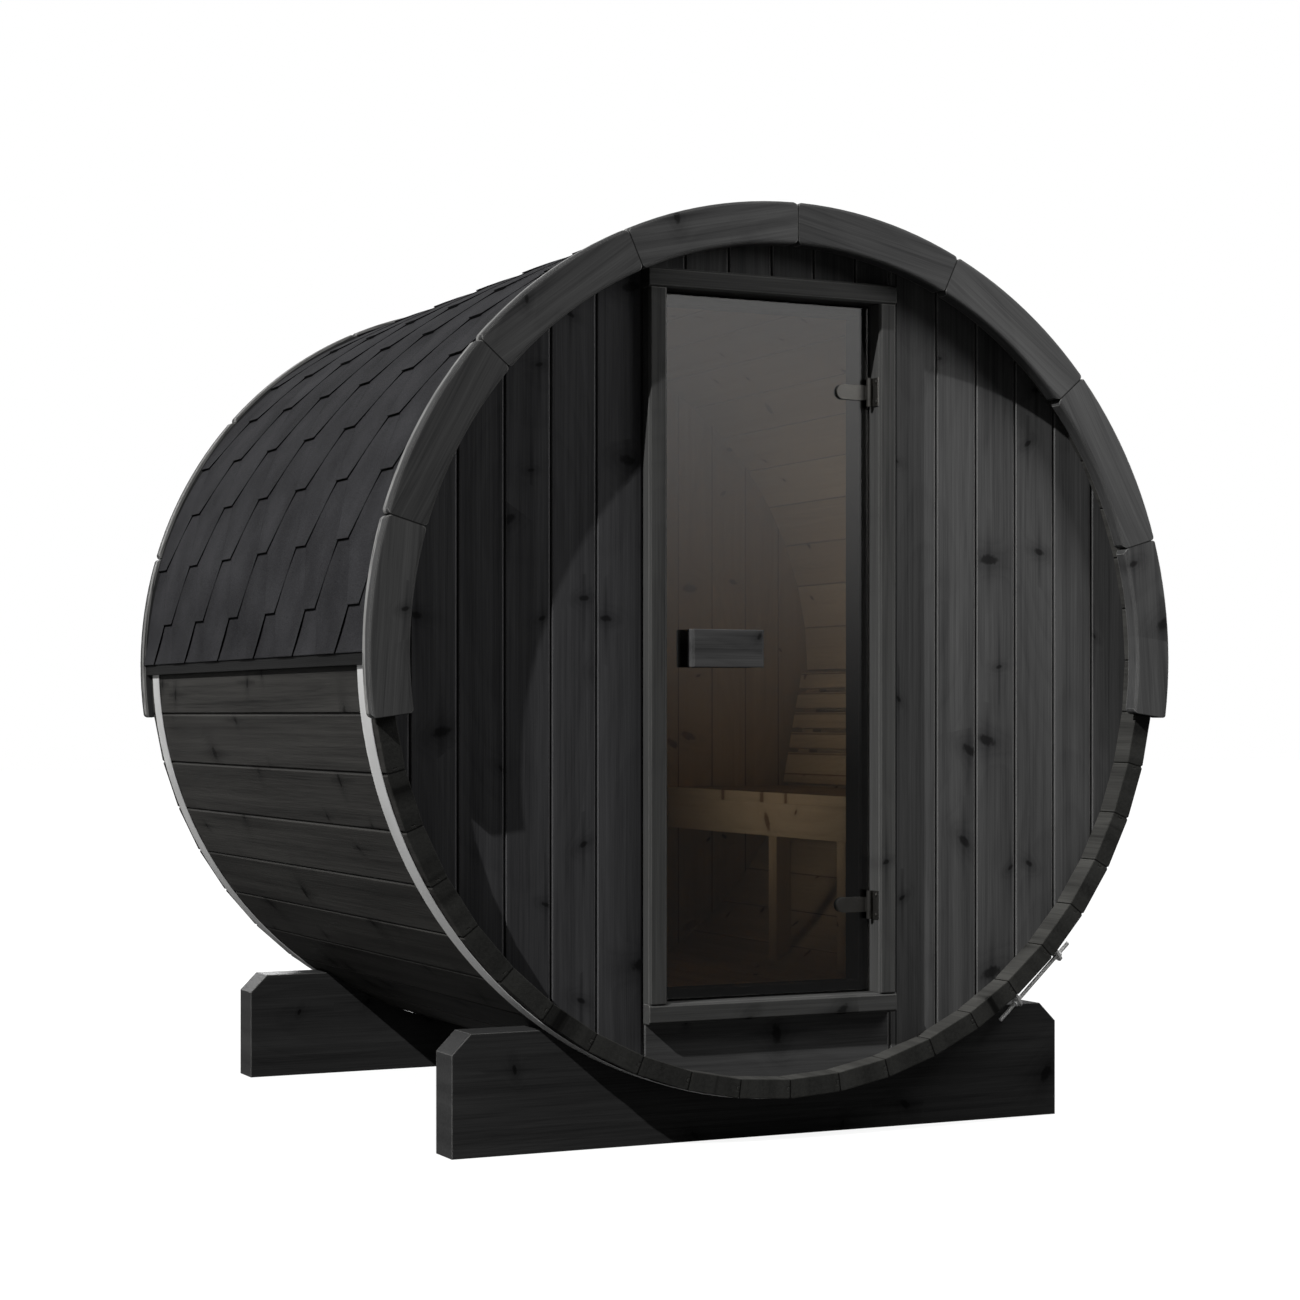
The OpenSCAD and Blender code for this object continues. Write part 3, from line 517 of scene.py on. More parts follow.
def round_end(f):
    """Trim boards: each is cut from a straight plank that lies along its chord."""
    sizes = f.sizes
    up = f.add(f.z, -AXIS_Z)
    angle = f.math("ARCTAN2", f.x, up)
    board = f.floor(f.scaled(angle, 1 / sizes.trim_board))
    middle = f.scaled(board, sizes.trim_board, sizes.trim_board / 2)
    sine, cosine = f.math("SINE", middle), f.math("COSINE", middle)
    along = f.minus(f.times(f.x, cosine), f.times(up, sine))
    outward = f.add(f.times(f.x, sine), f.times(up, cosine))
    across = f.add(outward, sizes.trim_width / 2 - TRIM_R)
    seed = f.scaled(f.math("SIGN", f.y), TRIM_END_SEED, TRIM_SEED)
    off = f.math("ABSOLUTE", f.minus(angle, middle))
    to_joint = f.scaled(off, -TRIM_R, TRIM_R * sizes.trim_board / 2)
    return along, across, f.y, f.add(board, seed), to_joint


# Marks on the timber, and the painted highlight on a trim board's sawn edge: shares of a thickness,
# and depths in metres
ROOM_SHARE = 0.8
RIM_SHARE = 0.6
WALL_SHARE = 0.7
WALL_CLEAR = 0.001
END_DEPTH = 0.002
HIGHLIGHT_DEPTH = 0.007
HIGHLIGHT_WIDTH = 0.017


def inside_room(f):
    """Marks the faces that show inside the room, which are left bare."""
    inner = STAVE_R - f.sizes.stave_thickness * ROOM_SHARE
    near = f.math("LESS_THAN", barrel_radius(f), inner)
    between = f.math("LESS_THAN", f.math("ABSOLUTE", f.y), -WALL_BACK - WALL_CLEAR)
    return f.times(near, between)


def behind_wall(f):
    """Marks the back of an end wall's boards."""
    middle = -(WALL_FACE * (1 - WALL_SHARE) + WALL_BACK * WALL_SHARE)
    return f.math("LESS_THAN", f.math("ABSOLUTE", f.y), middle)


def stave_painted_shade(f):
    """Painted shade on the staves, as a share of the walls' stain: outside, on their ends, and on
    the rim in front of the wall.
    """
    colours = f.colours
    end = f.math("GREATER_THAN", f.math("ABSOLUTE", f.y), STAVE_END - END_DEPTH)
    inner = STAVE_R - f.sizes.stave_thickness * RIM_SHARE
    rim = f.math("LESS_THAN", barrel_radius(f), inner)
    side = f.blend(rim, colours.stave_painted_shade[:], colours.rim_painted_shade[:])
    return f.blend(end, side, colours.end_painted_shade[:])


def sawn_edge_highlight(f):
    """Marks the sawn outer edge of a trim board beside the roof, where a highlight is painted."""
    outer = f.math("GREATER_THAN", barrel_radius(f), TRIM_R - HIGHLIGHT_DEPTH)
    beside = f.math("LESS_THAN", f.math("ABSOLUTE", f.y), STAVE_END + HIGHLIGHT_WIDTH)
    return f.times(outer, beside)


def stained(f, grain, edges):
    """Colour and roughness of dark stain over the grain, paler along the edges: partly wear, partly
    a painted highlight.
    """
    colours = f.colours
    tone = f.spread(grain.weighed(f, STAIN_TONE), 0.0, 1.0)
    wood = f.blend(tone, colours.stain_dark[:], colours.stain_light[:])
    wood = grain.marked(f, wood, STAIN_MARKS)
    # Paler along the edges: partly wear, partly a painted highlight
    wood = f.blend(edges, wood, colours.stain_wear_and_highlight[:])
    return grain.marked(f, wood, STAIN_JOINTS), grain.weighed(f, STAIN_ROUGH)


def bare(f, grain):
    """Colour and roughness of bare, planed softwood."""
    colours = f.colours
    tone = f.spread(grain.weighed(f, BARE_TONE), 0.0, 1.0)
    wood = f.blend(tone, colours.bare_light[:], colours.bare_dark[:])
    return grain.marked(f, wood, BARE_MARKS), grain.weighed(f, BARE_ROUGH)


def timber(name, place, finish="stained", bare_where=None, coat_and_painted_light=None, highlight_where=None, wear_and_highlight=EDGE_WEAR_AND_HIGHLIGHT):
    """Timber whose grain is laid by place.

    bare_where marks the faces that no stain reaches, and the highlight mask those where a highlight
    is painted.
    The coat is a share of stain that paints light and shade on the piece, and the wear is how far
    the stain is rubbed off along the edges, which also paints a highlight there.
    """
    f = Finish(name)
    grain = Grain(f, *place(f))
    eased, edges = f.edges()
    if finish == "bare":
        wood, rough = bare(f, grain)
    else:
        wood, rough = stained(f, grain, f.scaled(edges, wear_and_highlight))
        if highlight_where:
            # A painted highlight along the sawn edge, broken by streaks
            streaks = f.scaled(f.spread(grain.streak, *HIGHLIGHT_STREAKS), SAWN_HIGHLIGHT)
            painted_highlight = f.times(highlight_where(f), streaks)
            wood = f.blend(painted_highlight, wood, f.colours.stain_wear_and_highlight[:])
        # A share of the stain that paints light and shade on this piece
        if coat_and_painted_light:
            share = coat_and_painted_light(f) if callable(coat_and_painted_light) else coat_and_painted_light
            wood = f.node("VectorMath", {0: wood, 1: share}, operation="MULTIPLY").outputs[0]
    if bare_where:
        mark = bare_where(f)
        plain, plain_rough = bare(f, grain)
        wood = f.blend(mark, wood, plain)
        rough = f.add(rough, f.times(mark, f.minus(plain_rough, rough)))
    f.set(Base_Color=wood, Roughness=rough, Specular_IOR_Level=DULL)
    f.bump(grain.weighed(f, RELIEF), RELIEF_HEIGHT, RELIEF_SHARE, eased)
    return f.material


# Other finishes: repeats per metre, and shares of a colour
GRIT_RATE = 520.0
WEAR_RATE = 7.0
GRIT_TONE = 1.5
WEAR_TONE = 0.5
TAB_TONE = 0.08
SHINGLE_TONE = -0.75
# Share of painted shade along the edges of the tabs
EDGE_PAINTED_SHADE = 0.9
BRUSH_RATES = (6.0, 900.0)
ZINC_RATES = (4.0, 6.0)
ZINC_DULL = 0.72
SPECK_RATE = 900.0
CLOUD_RATE = 30.0
RUBBED = 1.6
GLASS_IOR = 1.7
GLASS_SMEAR = 0.02
LAMP_SHARE = 0.55


def shingle_finish():
    """Bitumen shingles faced with mineral grit, each tab a little lighter or darker, with painted
    shade along their edges.
    """
    f = Finish("shingle_grit")
    colours = f.colours
    tab = f.node("Attribute", {}, attribute_name="tone", attribute_type="GEOMETRY")
    spot = f.vector(f.x, f.y, f.z)
    grit = f.noise(spot, detail=3.0, scale=GRIT_RATE)
    wear = f.noise(spot, detail=3.0, scale=WEAR_RATE)
    tone = f.scaled(grit, GRIT_TONE, f.scaled(wear, WEAR_TONE, SHINGLE_TONE))
    tone = f.spread(f.scaled(tab.outputs["Fac"], TAB_TONE, tone), 0.0, 1.0)
    face = f.blend(tone, colours.bitumen_dark[:], colours.bitumen_light[:])
    # Painted shade along the edges of the tabs
    _, edges = f.edges()
    f.set(Base_Color=f.blend(f.scaled(edges, EDGE_PAINTED_SHADE), face, colours.bitumen_dark[:]))
    f.set(Roughness=f.scaled(grit, 0.25, 0.65), Specular_IOR_Level=DULL)
    f.bump(grit, 0.0012, 0.8)
    return f.material


def steel_finish():
    """Galvanised steel, dull with zinc, with brush marks round the hoop."""
    f = Finish("hoop_steel")
    up = f.add(f.z, -AXIS_Z)
    angle = f.math("ARCTAN2", up, f.x)
    marks = f.drawn_out(BRUSH_RATES, angle, f.y, 0.0, 3.0)
    clouds = f.drawn_out(ZINC_RATES, angle, f.y, f.z, 2.0)
    colour = f.colours.steel[:]
    dull = tuple(ZINC_DULL * c for c in colour)
    f.set(Base_Color=f.blend(f.spread(clouds, 0.3, 0.75), colour, dull), Metallic=0.45)
    f.set(Roughness=f.add(f.scaled(marks, 0.2, 0.16), f.scaled(clouds, 0.12)))
    f.bump(marks, 0.0001, 0.5)
    return f.material


def black_finish():
    """Satin black coating on metal, rubbed a little in places."""
    f = Finish("hinge_black")
    spot = f.vector(f.x, f.y, f.z)
    speck = f.noise(spot, detail=2.0, scale=SPECK_RATE)
    cloud = f.noise(spot, detail=2.0, scale=CLOUD_RATE)
    colour = f.colours.black_metal[:]
    rubbed = tuple(RUBBED * c for c in colour)
    f.set(Base_Color=f.blend(f.scaled(cloud, 0.8), colour, rubbed), Metallic=0.85)
    f.set(Roughness=f.add(f.scaled(speck, 0.10, 0.16), f.scaled(cloud, 0.08)))
    f.bump(speck, 0.00015, 0.4)
    return f.material


def glass_finish():
    """Tinted glass, a little smeared, that lets lamps shine through it."""
    f = Finish("tinted_glass")
    spot = f.vector(f.scaled(f.x, 3.0), f.y, f.scaled(f.z, 1.2))
    smear = f.noise(spot, detail=4.0, scale=2.0)
    tint = f.colours.glass[:]
    f.set(Base_Color=tint, Transmission_Weight=1.0, IOR=GLASS_IOR)
    f.set(Roughness=f.scaled(f.spread(smear, 0.5, 0.9), GLASS_SMEAR))
    clear = f.node("BsdfTransparent", {"Color": tuple(LAMP_SHARE * c for c in tint)})
    f.show(f.node("LightPath", {}).outputs["Is Shadow Ray"], clear)
    return f.material


# Pieces
SHARP_ANGLE = math.radians(32)
CUT_TONE = -12.0


def add_object(name, data):
    """Adds an object to the scene."""
    item = bpy.data.objects.new(name, data)
    bpy.context.scene.collection.objects.link(item)
    return item


def dress(material, *nodes):
    """Gives the solids of these nodes a material."""
    for name in nodes:
        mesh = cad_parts[name].data
        if not mesh.materials:
            mesh.materials.append(material)
        for i in range(len(mesh.materials)):
            mesh.materials[i] = material


def add_piece(name, bm, material, body, slot, *nodes):
    """Makes a piece that rides on a body, in place of the nodes named."""
    mesh = bpy.data.meshes.new(name)
    bmesh.ops.recalc_face_normals(bm, faces=bm.faces)
    bm.to_mesh(mesh)
    bm.free()
    mesh.shade_smooth()
    mesh.set_sharp_from_angle(angle=SHARP_ANGLE)
    mesh.materials.append(material)
    piece = add_object(name, mesh)
    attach(piece, body)
    if nodes:
        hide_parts(*nodes)


def closed_sheet(bm, outer, inner, tones):
    """Closes the space between two grids of points, column by column, with dark cut edges."""
    layer = bm.faces.layers.float.get("tone") or bm.faces.layers.float.new("tone")
    top = [[bm.verts.new(p) for p in column] for column in outer]
    under = [[bm.verts.new(p) for p in column] for column in inner]
    last_column, last_row = len(top) - 1, len(top[0]) - 1
    for i in range(last_column):
        for j in range(last_row):
            for grid in (top, under):
                corners = (grid[i][j], grid[i + 1][j], grid[i + 1][j + 1], grid[i][j + 1])
                bm.faces.new(corners)[layer] = tones[i]
        for j in (0, last_row):
            corners = (top[i][j], top[i + 1][j], under[i + 1][j], under[i][j])
            bm.faces.new(corners)[layer] = CUT_TONE
    for i in (0, last_column):
        for j in range(last_row):
            corners = (top[i][j], top[i][j + 1], under[i][j + 1], under[i][j])
            bm.faces.new(corners)[layer] = CUT_TONE


def turned(bm, profile, segments, matrix):
    """Turns a profile of radius and height pairs about the matrix's own Z."""
    rings = []
    for r, h in profile:
        ring = []
        for k in range(segments):
            a = 2 * math.pi * k / segments
            ring.append(bm.verts.new(matrix @ Vector((r * math.cos(a), r * math.sin(a), h))))
        rings.append(ring)
    for lower, upper in zip(rings, rings[1:]):
        for k in range(segments):
            m = (k + 1) % segments
            bm.faces.new((lower[k], lower[m], upper[m], upper[k]))
    bm.faces.new(rings[0])
    bm.faces.new(rings[-1])


def add_block(bm, start, end, ease):
    """A block between two corners, with eased edges."""
    start, end = Vector(start), Vector(end)
    matrix = Matrix.Translation((start + end) / 2) @ Matrix.Diagonal((*(end - start), 1.0))
    corners = bmesh.ops.create_cube(bm, size=1.0, matrix=matrix)["verts"]
    edges = [edge for edge in bm.edges if edge.verts[0] in corners]
    bmesh.ops.bevel(bm, geom=edges, offset=ease, segments=2, profile=0.5, affect="EDGES")


# Roof
LAYER = 1.1
SHEET_ROWS = 8
EAVES_COURSES = 2
TAB_MARGIN = 0.002
TOP_GAP = 0.0005
CAP_LIFT = 1.15
CAP_COLUMNS = 2
CAP_STEPS = 14
ROOF_SEED = 7


def roof_point(side, angle, r, y):
    return Vector((side * r * math.cos(angle), y, AXIS_Z + r * math.sin(angle)))


def eaves_kick(sizes, angle):
    """How far the shingles stand out over the eaves batten at an angle above the eaves."""
    share = max(0.0, 1 - angle * ROOF_R / sizes.kick_height)
    return sizes.kick_out * share * share


def tab_edge(sizes, y, shift):
    """Height of a course's cut edge above the feet of its tabs."""
    half = sizes.tab_pitch / 2
    off = abs((y - shift + half) % sizes.tab_pitch - half)
    rise = (off - sizes.tab_foot / 2) / (half - sizes.tab_foot)
    return sizes.course_height * min(max(rise, 0.0), 1.0)


def tab_breaks(sizes, shift, least):
    """Places along the roof where a course's edge turns, if it is cut off at a least height."""
    half = sizes.tab_pitch / 2
    foot = sizes.tab_foot / 2 + least / sizes.course_height * (half - sizes.tab_foot)
    turns = (-half + sizes.tab_foot / 2, -foot, foot, half - sizes.tab_foot / 2)
    count = math.ceil(ROOF_END / sizes.tab_pitch) + 1
    places = [shift + k * sizes.tab_pitch + t for k in range(-count, count + 1) for t in turns]
    inside = [y for y in places if abs(y) < ROOF_END - TAB_MARGIN]
    return [-ROOF_END, *inside, ROOF_END]


def add_course(bm, sizes, chance, side, row):
    """One course of tabs, cut off straight at the eaves."""
    foot = (sizes.first_course + row * sizes.course_height) / ROOF_R
    shift = sizes.tab_shift - (row % 2) * sizes.tab_pitch / 2
    double = 2 * sizes.course_height
    top = min(double + sizes.shingle_lap, (math.pi / 2 - foot) * ROOF_R - TOP_GAP)
    least = max(0.0, -foot * ROOF_R)
    columns = tab_breaks(sizes, shift, min(least, sizes.course_height))
    tab_tones = {}
    outer, inner, tones = [], [], []
    for i, y in enumerate(columns):
        cut = min(max(tab_edge(sizes, y, shift), least), top - sizes.shingle_lap)
        over, under = [], []
        for j in range(SHEET_ROWS + 1):
            up = cut + (top - cut) * j / SHEET_ROWS
            angle = foot + up / ROOF_R
            lift = 2 * LAYER * sizes.shingle_thickness * max(0.0, 1 - up / double)
            r = ROOF_R + eaves_kick(sizes, angle) + lift
            over.append(roof_point(side, angle, r + sizes.shingle_thickness, y))
            under.append(roof_point(side, angle, r, y))
        outer.append(over)
        inner.append(under)
        if i:
            tab = math.floor(((y + columns[i - 1]) / 2 - shift) / sizes.tab_pitch + 0.5)
            tones.append(tab_tones.setdefault(tab, chance.random()))
    closed_sheet(bm, outer, inner, tones)


def add_ridge_cap(bm, sizes, chance, start, end, exposed):
    """One cap folded over the top, lapped by the next cap behind it."""
    t = sizes.ridge_thickness
    low_r = ROOF_R + (2 * LAYER + CAP_LIFT) * sizes.shingle_thickness
    reach = sizes.ridge_width / 2 / low_r
    outer, inner = [], []
    for i in range(CAP_COLUMNS + 1):
        y = start + (end - start) * i / CAP_COLUMNS
        lift = 2 * LAYER * t * (1 - (y - start) / (2 * exposed))
        over, under = [], []
        for j in range(CAP_STEPS + 1):
            angle = math.pi / 2 - reach + 2 * reach * j / CAP_STEPS
            over.append(roof_point(1, angle, low_r + lift + t, y))
            under.append(roof_point(1, angle, low_r + lift, y))
        outer.append(over)
        inner.append(under)
    closed_sheet(bm, outer, inner, [chance.random()] * CAP_COLUMNS)


# Hoop bolts and screws: depths as a share of a pitch or a radius, and sizes in metres
THREAD_SIDES = 12
THREAD_DEPTH = 0.6
NUT_SIDES = 6
NUT_FLAT = 0.9
NUT_EASE = 0.12
WASHER_SIDES = 24
WASHER_REACH = 1.15
WASHER_THICKNESS = 0.0016
WASHER_EASE = 0.0004
SCREW_SIDES = 18
SCREW_PROFILE = ((1.0, 0.0), (1.0, 0.35), (0.85, 0.55), (0.5, 0.62), (0.45, 0.2))


def add_thread(bm, matrix, start, end, radius, pitch):
    """A rod with a thread wound along it, closed at both ends."""
    root_r = radius - THREAD_DEPTH * pitch
    turns = int((end - start) / pitch - 0.5)
    steps = turns * THREAD_SIDES
    root, crest = [], []
    for i in range(steps + 1):
        a = 2 * math.pi * i / THREAD_SIDES
        h = start + pitch * i / THREAD_SIDES
        around = Vector((math.cos(a), math.sin(a), 0))
        root.append(bm.verts.new(matrix @ (root_r * around + Vector((0, 0, h)))))
        crest.append(bm.verts.new(matrix @ (radius * around + Vector((0, 0, h + pitch / 2)))))
    for i in range(steps):
        bm.faces.new((root[i], root[i + 1], crest[i + 1], crest[i]))
        if i + 1 + THREAD_SIDES <= steps:
            above = i + THREAD_SIDES
            bm.faces.new((crest[i], crest[i + 1], root[above + 1], root[above]))
    first = [*root[:THREAD_SIDES + 1], crest[0]]
    last = [root[-1], *reversed(crest[-THREAD_SIDES - 1:])]
    for rim, h in ((first, start), (last, end)):
        middle = bm.verts.new(matrix @ Vector((0, 0, h)))
        for a, b in zip(rim, rim[1:] + rim[:1]):
            bm.faces.new((middle, a, b))


def add_nut(bm, matrix, start, sizes, way):
    """A hexagonal nut with turned-down corners, and the washer under it."""
    bolt_r, nut_r, height = sizes.bolt_radius, sizes.nut_radius, sizes.nut_height
    flat, washer_r = NUT_FLAT * nut_r, WASHER_REACH * nut_r
    thick, ease = WASHER_THICKNESS, WASHER_EASE
    washer = (
        (bolt_r, 0.0),
        (washer_r - ease, 0.0),
        (washer_r, ease),
        (washer_r, thick - ease),
        (washer_r - ease, thick),
        (bolt_r, thick),
    )
    nut = (
        (flat, thick),
        (nut_r, thick + NUT_EASE * height),
        (nut_r, (1 - NUT_EASE) * height),
        (flat, height),
    )
    for profile, sides in ((washer, WASHER_SIDES), (nut, NUT_SIDES)):
        turned(bm, [(r, start + way * up) for r, up in profile], sides, matrix)


def add_screw(bm, matrix, sizes):
    """A low screw head with a round socket, standing on the matrix's own XY plane."""
    r = sizes.screw_radius
    turned(bm, [(r * out, r * up) for out, up in SCREW_PROFILE], SCREW_SIDES, matrix)


# Door fittings
FOOT_SUNK = 0.001
PLATE_THICKNESS = 0.003
PLATE_HALF = 0.033
JAMB_SCREW_INSET = 0.008
JAMB_SCREW_RISE = 0.023
CLAMP_SCREWS = (0.018, 0.042)


# Operators
class SaunaOperator:
    """What the operators share."""

    bl_options = {"REGISTER", "UNDO"}


class SAUNA_OT_staves(SaunaOperator, bpy.types.Operator):
    """Stain the staves outside and leave them bare inside"""

    bl_idname = "sauna.staves"
    bl_label = "Staves"

    def execute(self, context):
        # The staves' stain is darkened here to paint shade on them
        stain = timber(
            "stave_timber", round_barrel, bare_where=inside_room, coat_and_painted_light=stave_painted_shade, wear_and_highlight=LITTLE_WEAR_AND_HIGHLIGHT
        )
        dress(stain, *STAVES)
        return {"FINISHED"}


class SAUNA_OT_end_walls(SaunaOperator, bpy.types.Operator):
    """Stain the boards of the end walls, and leave their backs bare"""

    bl_idname = "sauna.end_walls"
    bl_label = "End walls"

    def execute(self, context):
        sizes = context.scene.sauna_sizes
        boards = lengthwise("z", "x", "y", sizes.wall_board, sizes.wall_joint, seed=200.0)
        stain = timber("wall_timber", boards, bare_where=behind_wall)
        dress(stain, "front_wall_over_door", "back_wall")
        for side in ("left", "right"):
            # The wall left of the door gets painted shade, and the wall right of it painted light
            coat_and_painted_light = getattr(context.scene.sauna_finishes, f"{side}_coat")[:]
            stain = timber(f"{side}_wall_timber", boards, bare_where=behind_wall, coat_and_painted_light=coat_and_painted_light)
            dress(stain, f"front_wall_{side}")
        panel = lengthwise("x", "z", "y", pitch=0.6, start=-0.1, seed=311.0)
        dress(timber("panel_timber", panel, bare_where=behind_wall), "front_wall_under_door")
        return {"FINISHED"}


class SAUNA_OT_end_trim(SaunaOperator, bpy.types.Operator):
    """Stain the boards round the barrel's ends"""

    bl_idname = "sauna.end_trim"
    bl_label = "End trim"

    def execute(self, context):
        # The trim boards get a painted highlight along their sawn outer edge
        dress(timber("trim_timber", round_end, highlight_where=sawn_edge_highlight), *TRIM)
        return {"FINISHED"}


class SAUNA_OT_cradles(SaunaOperator, bpy.types.Operator):
    """Stain the cradles and the eaves battens"""

    bl_idname = "sauna.cradles"
    bl_label = "Cradles and battens"

    def execute(self, context):
        # The cradles and the eaves battens are darkened to paint shade on them
        coat_and_painted_light = context.scene.sauna_finishes.cradle_painted_shade[:]
        for end, seed in (("front", 401.0), ("rear", 437.0)):
            beam = lengthwise("x", "z", "y", pitch=0.6, start=-0.15, seed=seed)
            dress(timber(f"{end}_cradle_timber", beam, coat_and_painted_light=coat_and_painted_light), f"cradle_{end}")
        battens = lengthwise("y", "x", "z", pitch=1.0, start=-1.5, seed=450.0)
        stain = timber("batten_timber", battens, coat_and_painted_light=context.scene.sauna_finishes.batten_painted_shade[:])
        dress(stain, "eaves_batten_left", "eaves_batten_right")
        return {"FINISHED"}


class SAUNA_OT_door_frame(SaunaOperator, bpy.types.Operator):
    """Stain the door frame and the stops behind the glass"""

    bl_idname = "sauna.door_frame"
    bl_label = "Door frame"

    def execute(self, context):
        colours = context.scene.sauna_finishes
        # The frame is darkened a little, and the stops much more, to paint shade on them
        coat_and_painted_light = colours.frame_painted_shade[:]
        uprights = lengthwise("z", "x", "y", pitch=0.6, start=-0.623, seed=501.0)
        stain = timber("jamb_timber", uprights, coat_and_painted_light=coat_and_painted_light, wear_and_highlight=FRAME_WEAR_AND_HIGHLIGHT)
        dress(stain, "door_jamb_left", "door_jamb_right")
        dress(timber("stop_timber", uprights, coat_and_painted_light=colours.stop_painted_shade[:]), "door_stops")
        rails = lengthwise("x", "z", "y", pitch=0.8, start=0.0, seed=523.0)
        dress(timber("rail_timber", rails, coat_and_painted_light=coat_and_painted_light, wear_and_highlight=FRAME_WEAR_AND_HIGHLIGHT), "door_head", "door_sill")
        return {"FINISHED"}


class SAUNA_OT_door_leaf(SaunaOperator, bpy.types.Operator):
    """Glaze the door, stain its handle, and add the handle's block inside"""

    bl_idname = "sauna.door_leaf"
    bl_label = "Door leaf"

    def execute(self, context):
        dress(glass_finish(), "door_glass")
        block = lengthwise("x", "z", "y", pitch=0.5, start=0.9, seed=557.0)
        stain = timber("handle_timber", block, wear_and_highlight=LITTLE_WEAR_AND_HIGHLIGHT)
        dress(stain, "door_handle")
        self.add_inner_handle(context.scene.sauna_sizes, stain)
        return {"FINISHED"}

    def add_inner_handle(self, sizes, stain):
        """The block on the room side of the glass, as large as the outer one."""
        left, right = low("door_handle", "x"), high("door_handle", "x")
        bottom, top = low("door_handle", "z"), high("door_handle", "z")
        glass = high("door_glass", "y")
        depth = low("door_glass", "y") - low("door_handle", "y")
        face = glass + sizes.finger_space
        inset = sizes.foot_inset
        bm = bmesh.new()
        add_block(bm, (left, face, bottom), (right, glass + depth, top), sizes.handle_ease)
        foot_start = (right - inset - sizes.handle_foot, glass, bottom + inset)
        foot_end = (right - inset, face + FOOT_SUNK, top - inset)
        add_block(bm, foot_start, foot_end, FOOT_SUNK / 2)
        add_piece("inner_handle", bm, stain, DOOR, "stained_wood")


class SAUNA_OT_hinges(SaunaOperator, bpy.types.Operator):
    """Coat the hinges black, and fix them with screws"""

    bl_idname = "sauna.hinges"
    bl_label = "Hinges"

    def execute(self, context):
        sizes = context.scene.sauna_sizes
        coat_and_painted_light = black_finish()
        dress(coat_and_painted_light, "hinge_leaves", "hinge_jamb_plates")
        heights = (
            low("hinge_jamb_plates", "z") + PLATE_HALF,
            high("hinge_jamb_plates", "z") - PLATE_HALF,
        )
        x, y = low("hinge_leaves", "x"), high("hinge_leaves", "y")
        clamps = [(x + across, y, z) for z in heights for across in CLAMP_SCREWS]
        x = high("hinge_jamb_plates", "x") - PLATE_THICKNESS
        y = low("hinge_jamb_plates", "y") + JAMB_SCREW_INSET
        rises = (-JAMB_SCREW_RISE, JAMB_SCREW_RISE)
        jambs = [(x, y, z + up) for z in heights for up in rises]
        for part, places, axis, body in (("clamp", clamps, "X", DOOR), ("jamb", jambs, "Y", SAUNA)):
            turn = Matrix.Rotation(-math.pi / 2, 4, axis)
            bm = bmesh.new()
            for place in places:
                add_screw(bm, Matrix.Translation(place) @ turn, sizes)
            add_piece(f"hinge_{part}_screws", bm, coat_and_painted_light, body, "hinge_black")
        return {"FINISHED"}


class SAUNA_OT_hoops(SaunaOperator, bpy.types.Operator):
    """Give the hoops their steel, and draw them tight with threaded bolts"""

    bl_idname = "sauna.hoops"
    bl_label = "Hoops"

    def execute(self, context):
        sizes = context.scene.sauna_sizes
        steel = steel_finish()
        dress(steel, "hoop_front", "hoop_rear")
        outward = Vector((math.cos(sizes.bolt_angle), 0, math.sin(sizes.bolt_angle)))
        down = Vector((math.sin(sizes.bolt_angle), 0, -math.cos(sizes.bolt_angle)))
        turn = down.to_track_quat("Z", "Y").to_matrix().to_4x4()
        for end, y in (("front", HOOP_MID), ("rear", -HOOP_MID)):
            middle = Vector((0, y, AXIS_Z)) + (STAVE_R + sizes.bolt_height) * outward
            matrix = Matrix.Translation(middle) @ turn
            bm = bmesh.new()
            start, stop = -sizes.lug_face - sizes.bolt_head, sizes.lug_face + sizes.bolt_tail
            add_thread(bm, matrix, start, stop, sizes.bolt_radius, sizes.thread_pitch)
            add_nut(bm, matrix, sizes.lug_face, sizes, 1)
            add_nut(bm, matrix, -sizes.lug_face, sizes, -1)
            add_piece(f"threaded_bolt_{end}", bm, steel, SAUNA, "hoop_steel", f"hoop_bolt_{end}")
        return {"FINISHED"}


class SAUNA_OT_roof(SaunaOperator, bpy.types.Operator):
    """Lay courses of hexagonal shingles on both sides, and cap the ridge"""

    bl_idname = "sauna.roof"
    bl_label = "Roof"

    def execute(self, context):
        sizes = context.scene.sauna_sizes
        chance = random.Random(ROOF_SEED)
        grit = shingle_finish()
        quarter = math.pi / 2 * ROOF_R
        rows = math.ceil((quarter - sizes.first_course) / sizes.course_height)
        for name, side in (("left", -1), ("right", 1)):
            bm = bmesh.new()
            for row in range(-EAVES_COURSES, rows):
                add_course(bm, sizes, chance, side, row)
            add_piece(f"shingles_{name}", bm, grit, SAUNA, "shingle", f"roof_cover_{name}")
        exposed = sizes.tab_pitch / 2
        count = math.ceil(2 * ROOF_END / exposed)
        bm = bmesh.new()
        for k in range(count):
            start = -ROOF_END + k * exposed
            end = min(start + 2 * exposed, ROOF_END)
            add_ridge_cap(bm, sizes, chance, start, end, exposed)
        add_piece("ridge_caps", bm, grit, SAUNA, "shingle", "ridge_strip")
        return {"FINISHED"}


# First joints of the boards inside, from the boards' edges
BOARD_MARGIN = 0.005
FRONT_MARGIN = 0.1
SLAT_MIDDLE = 0.03


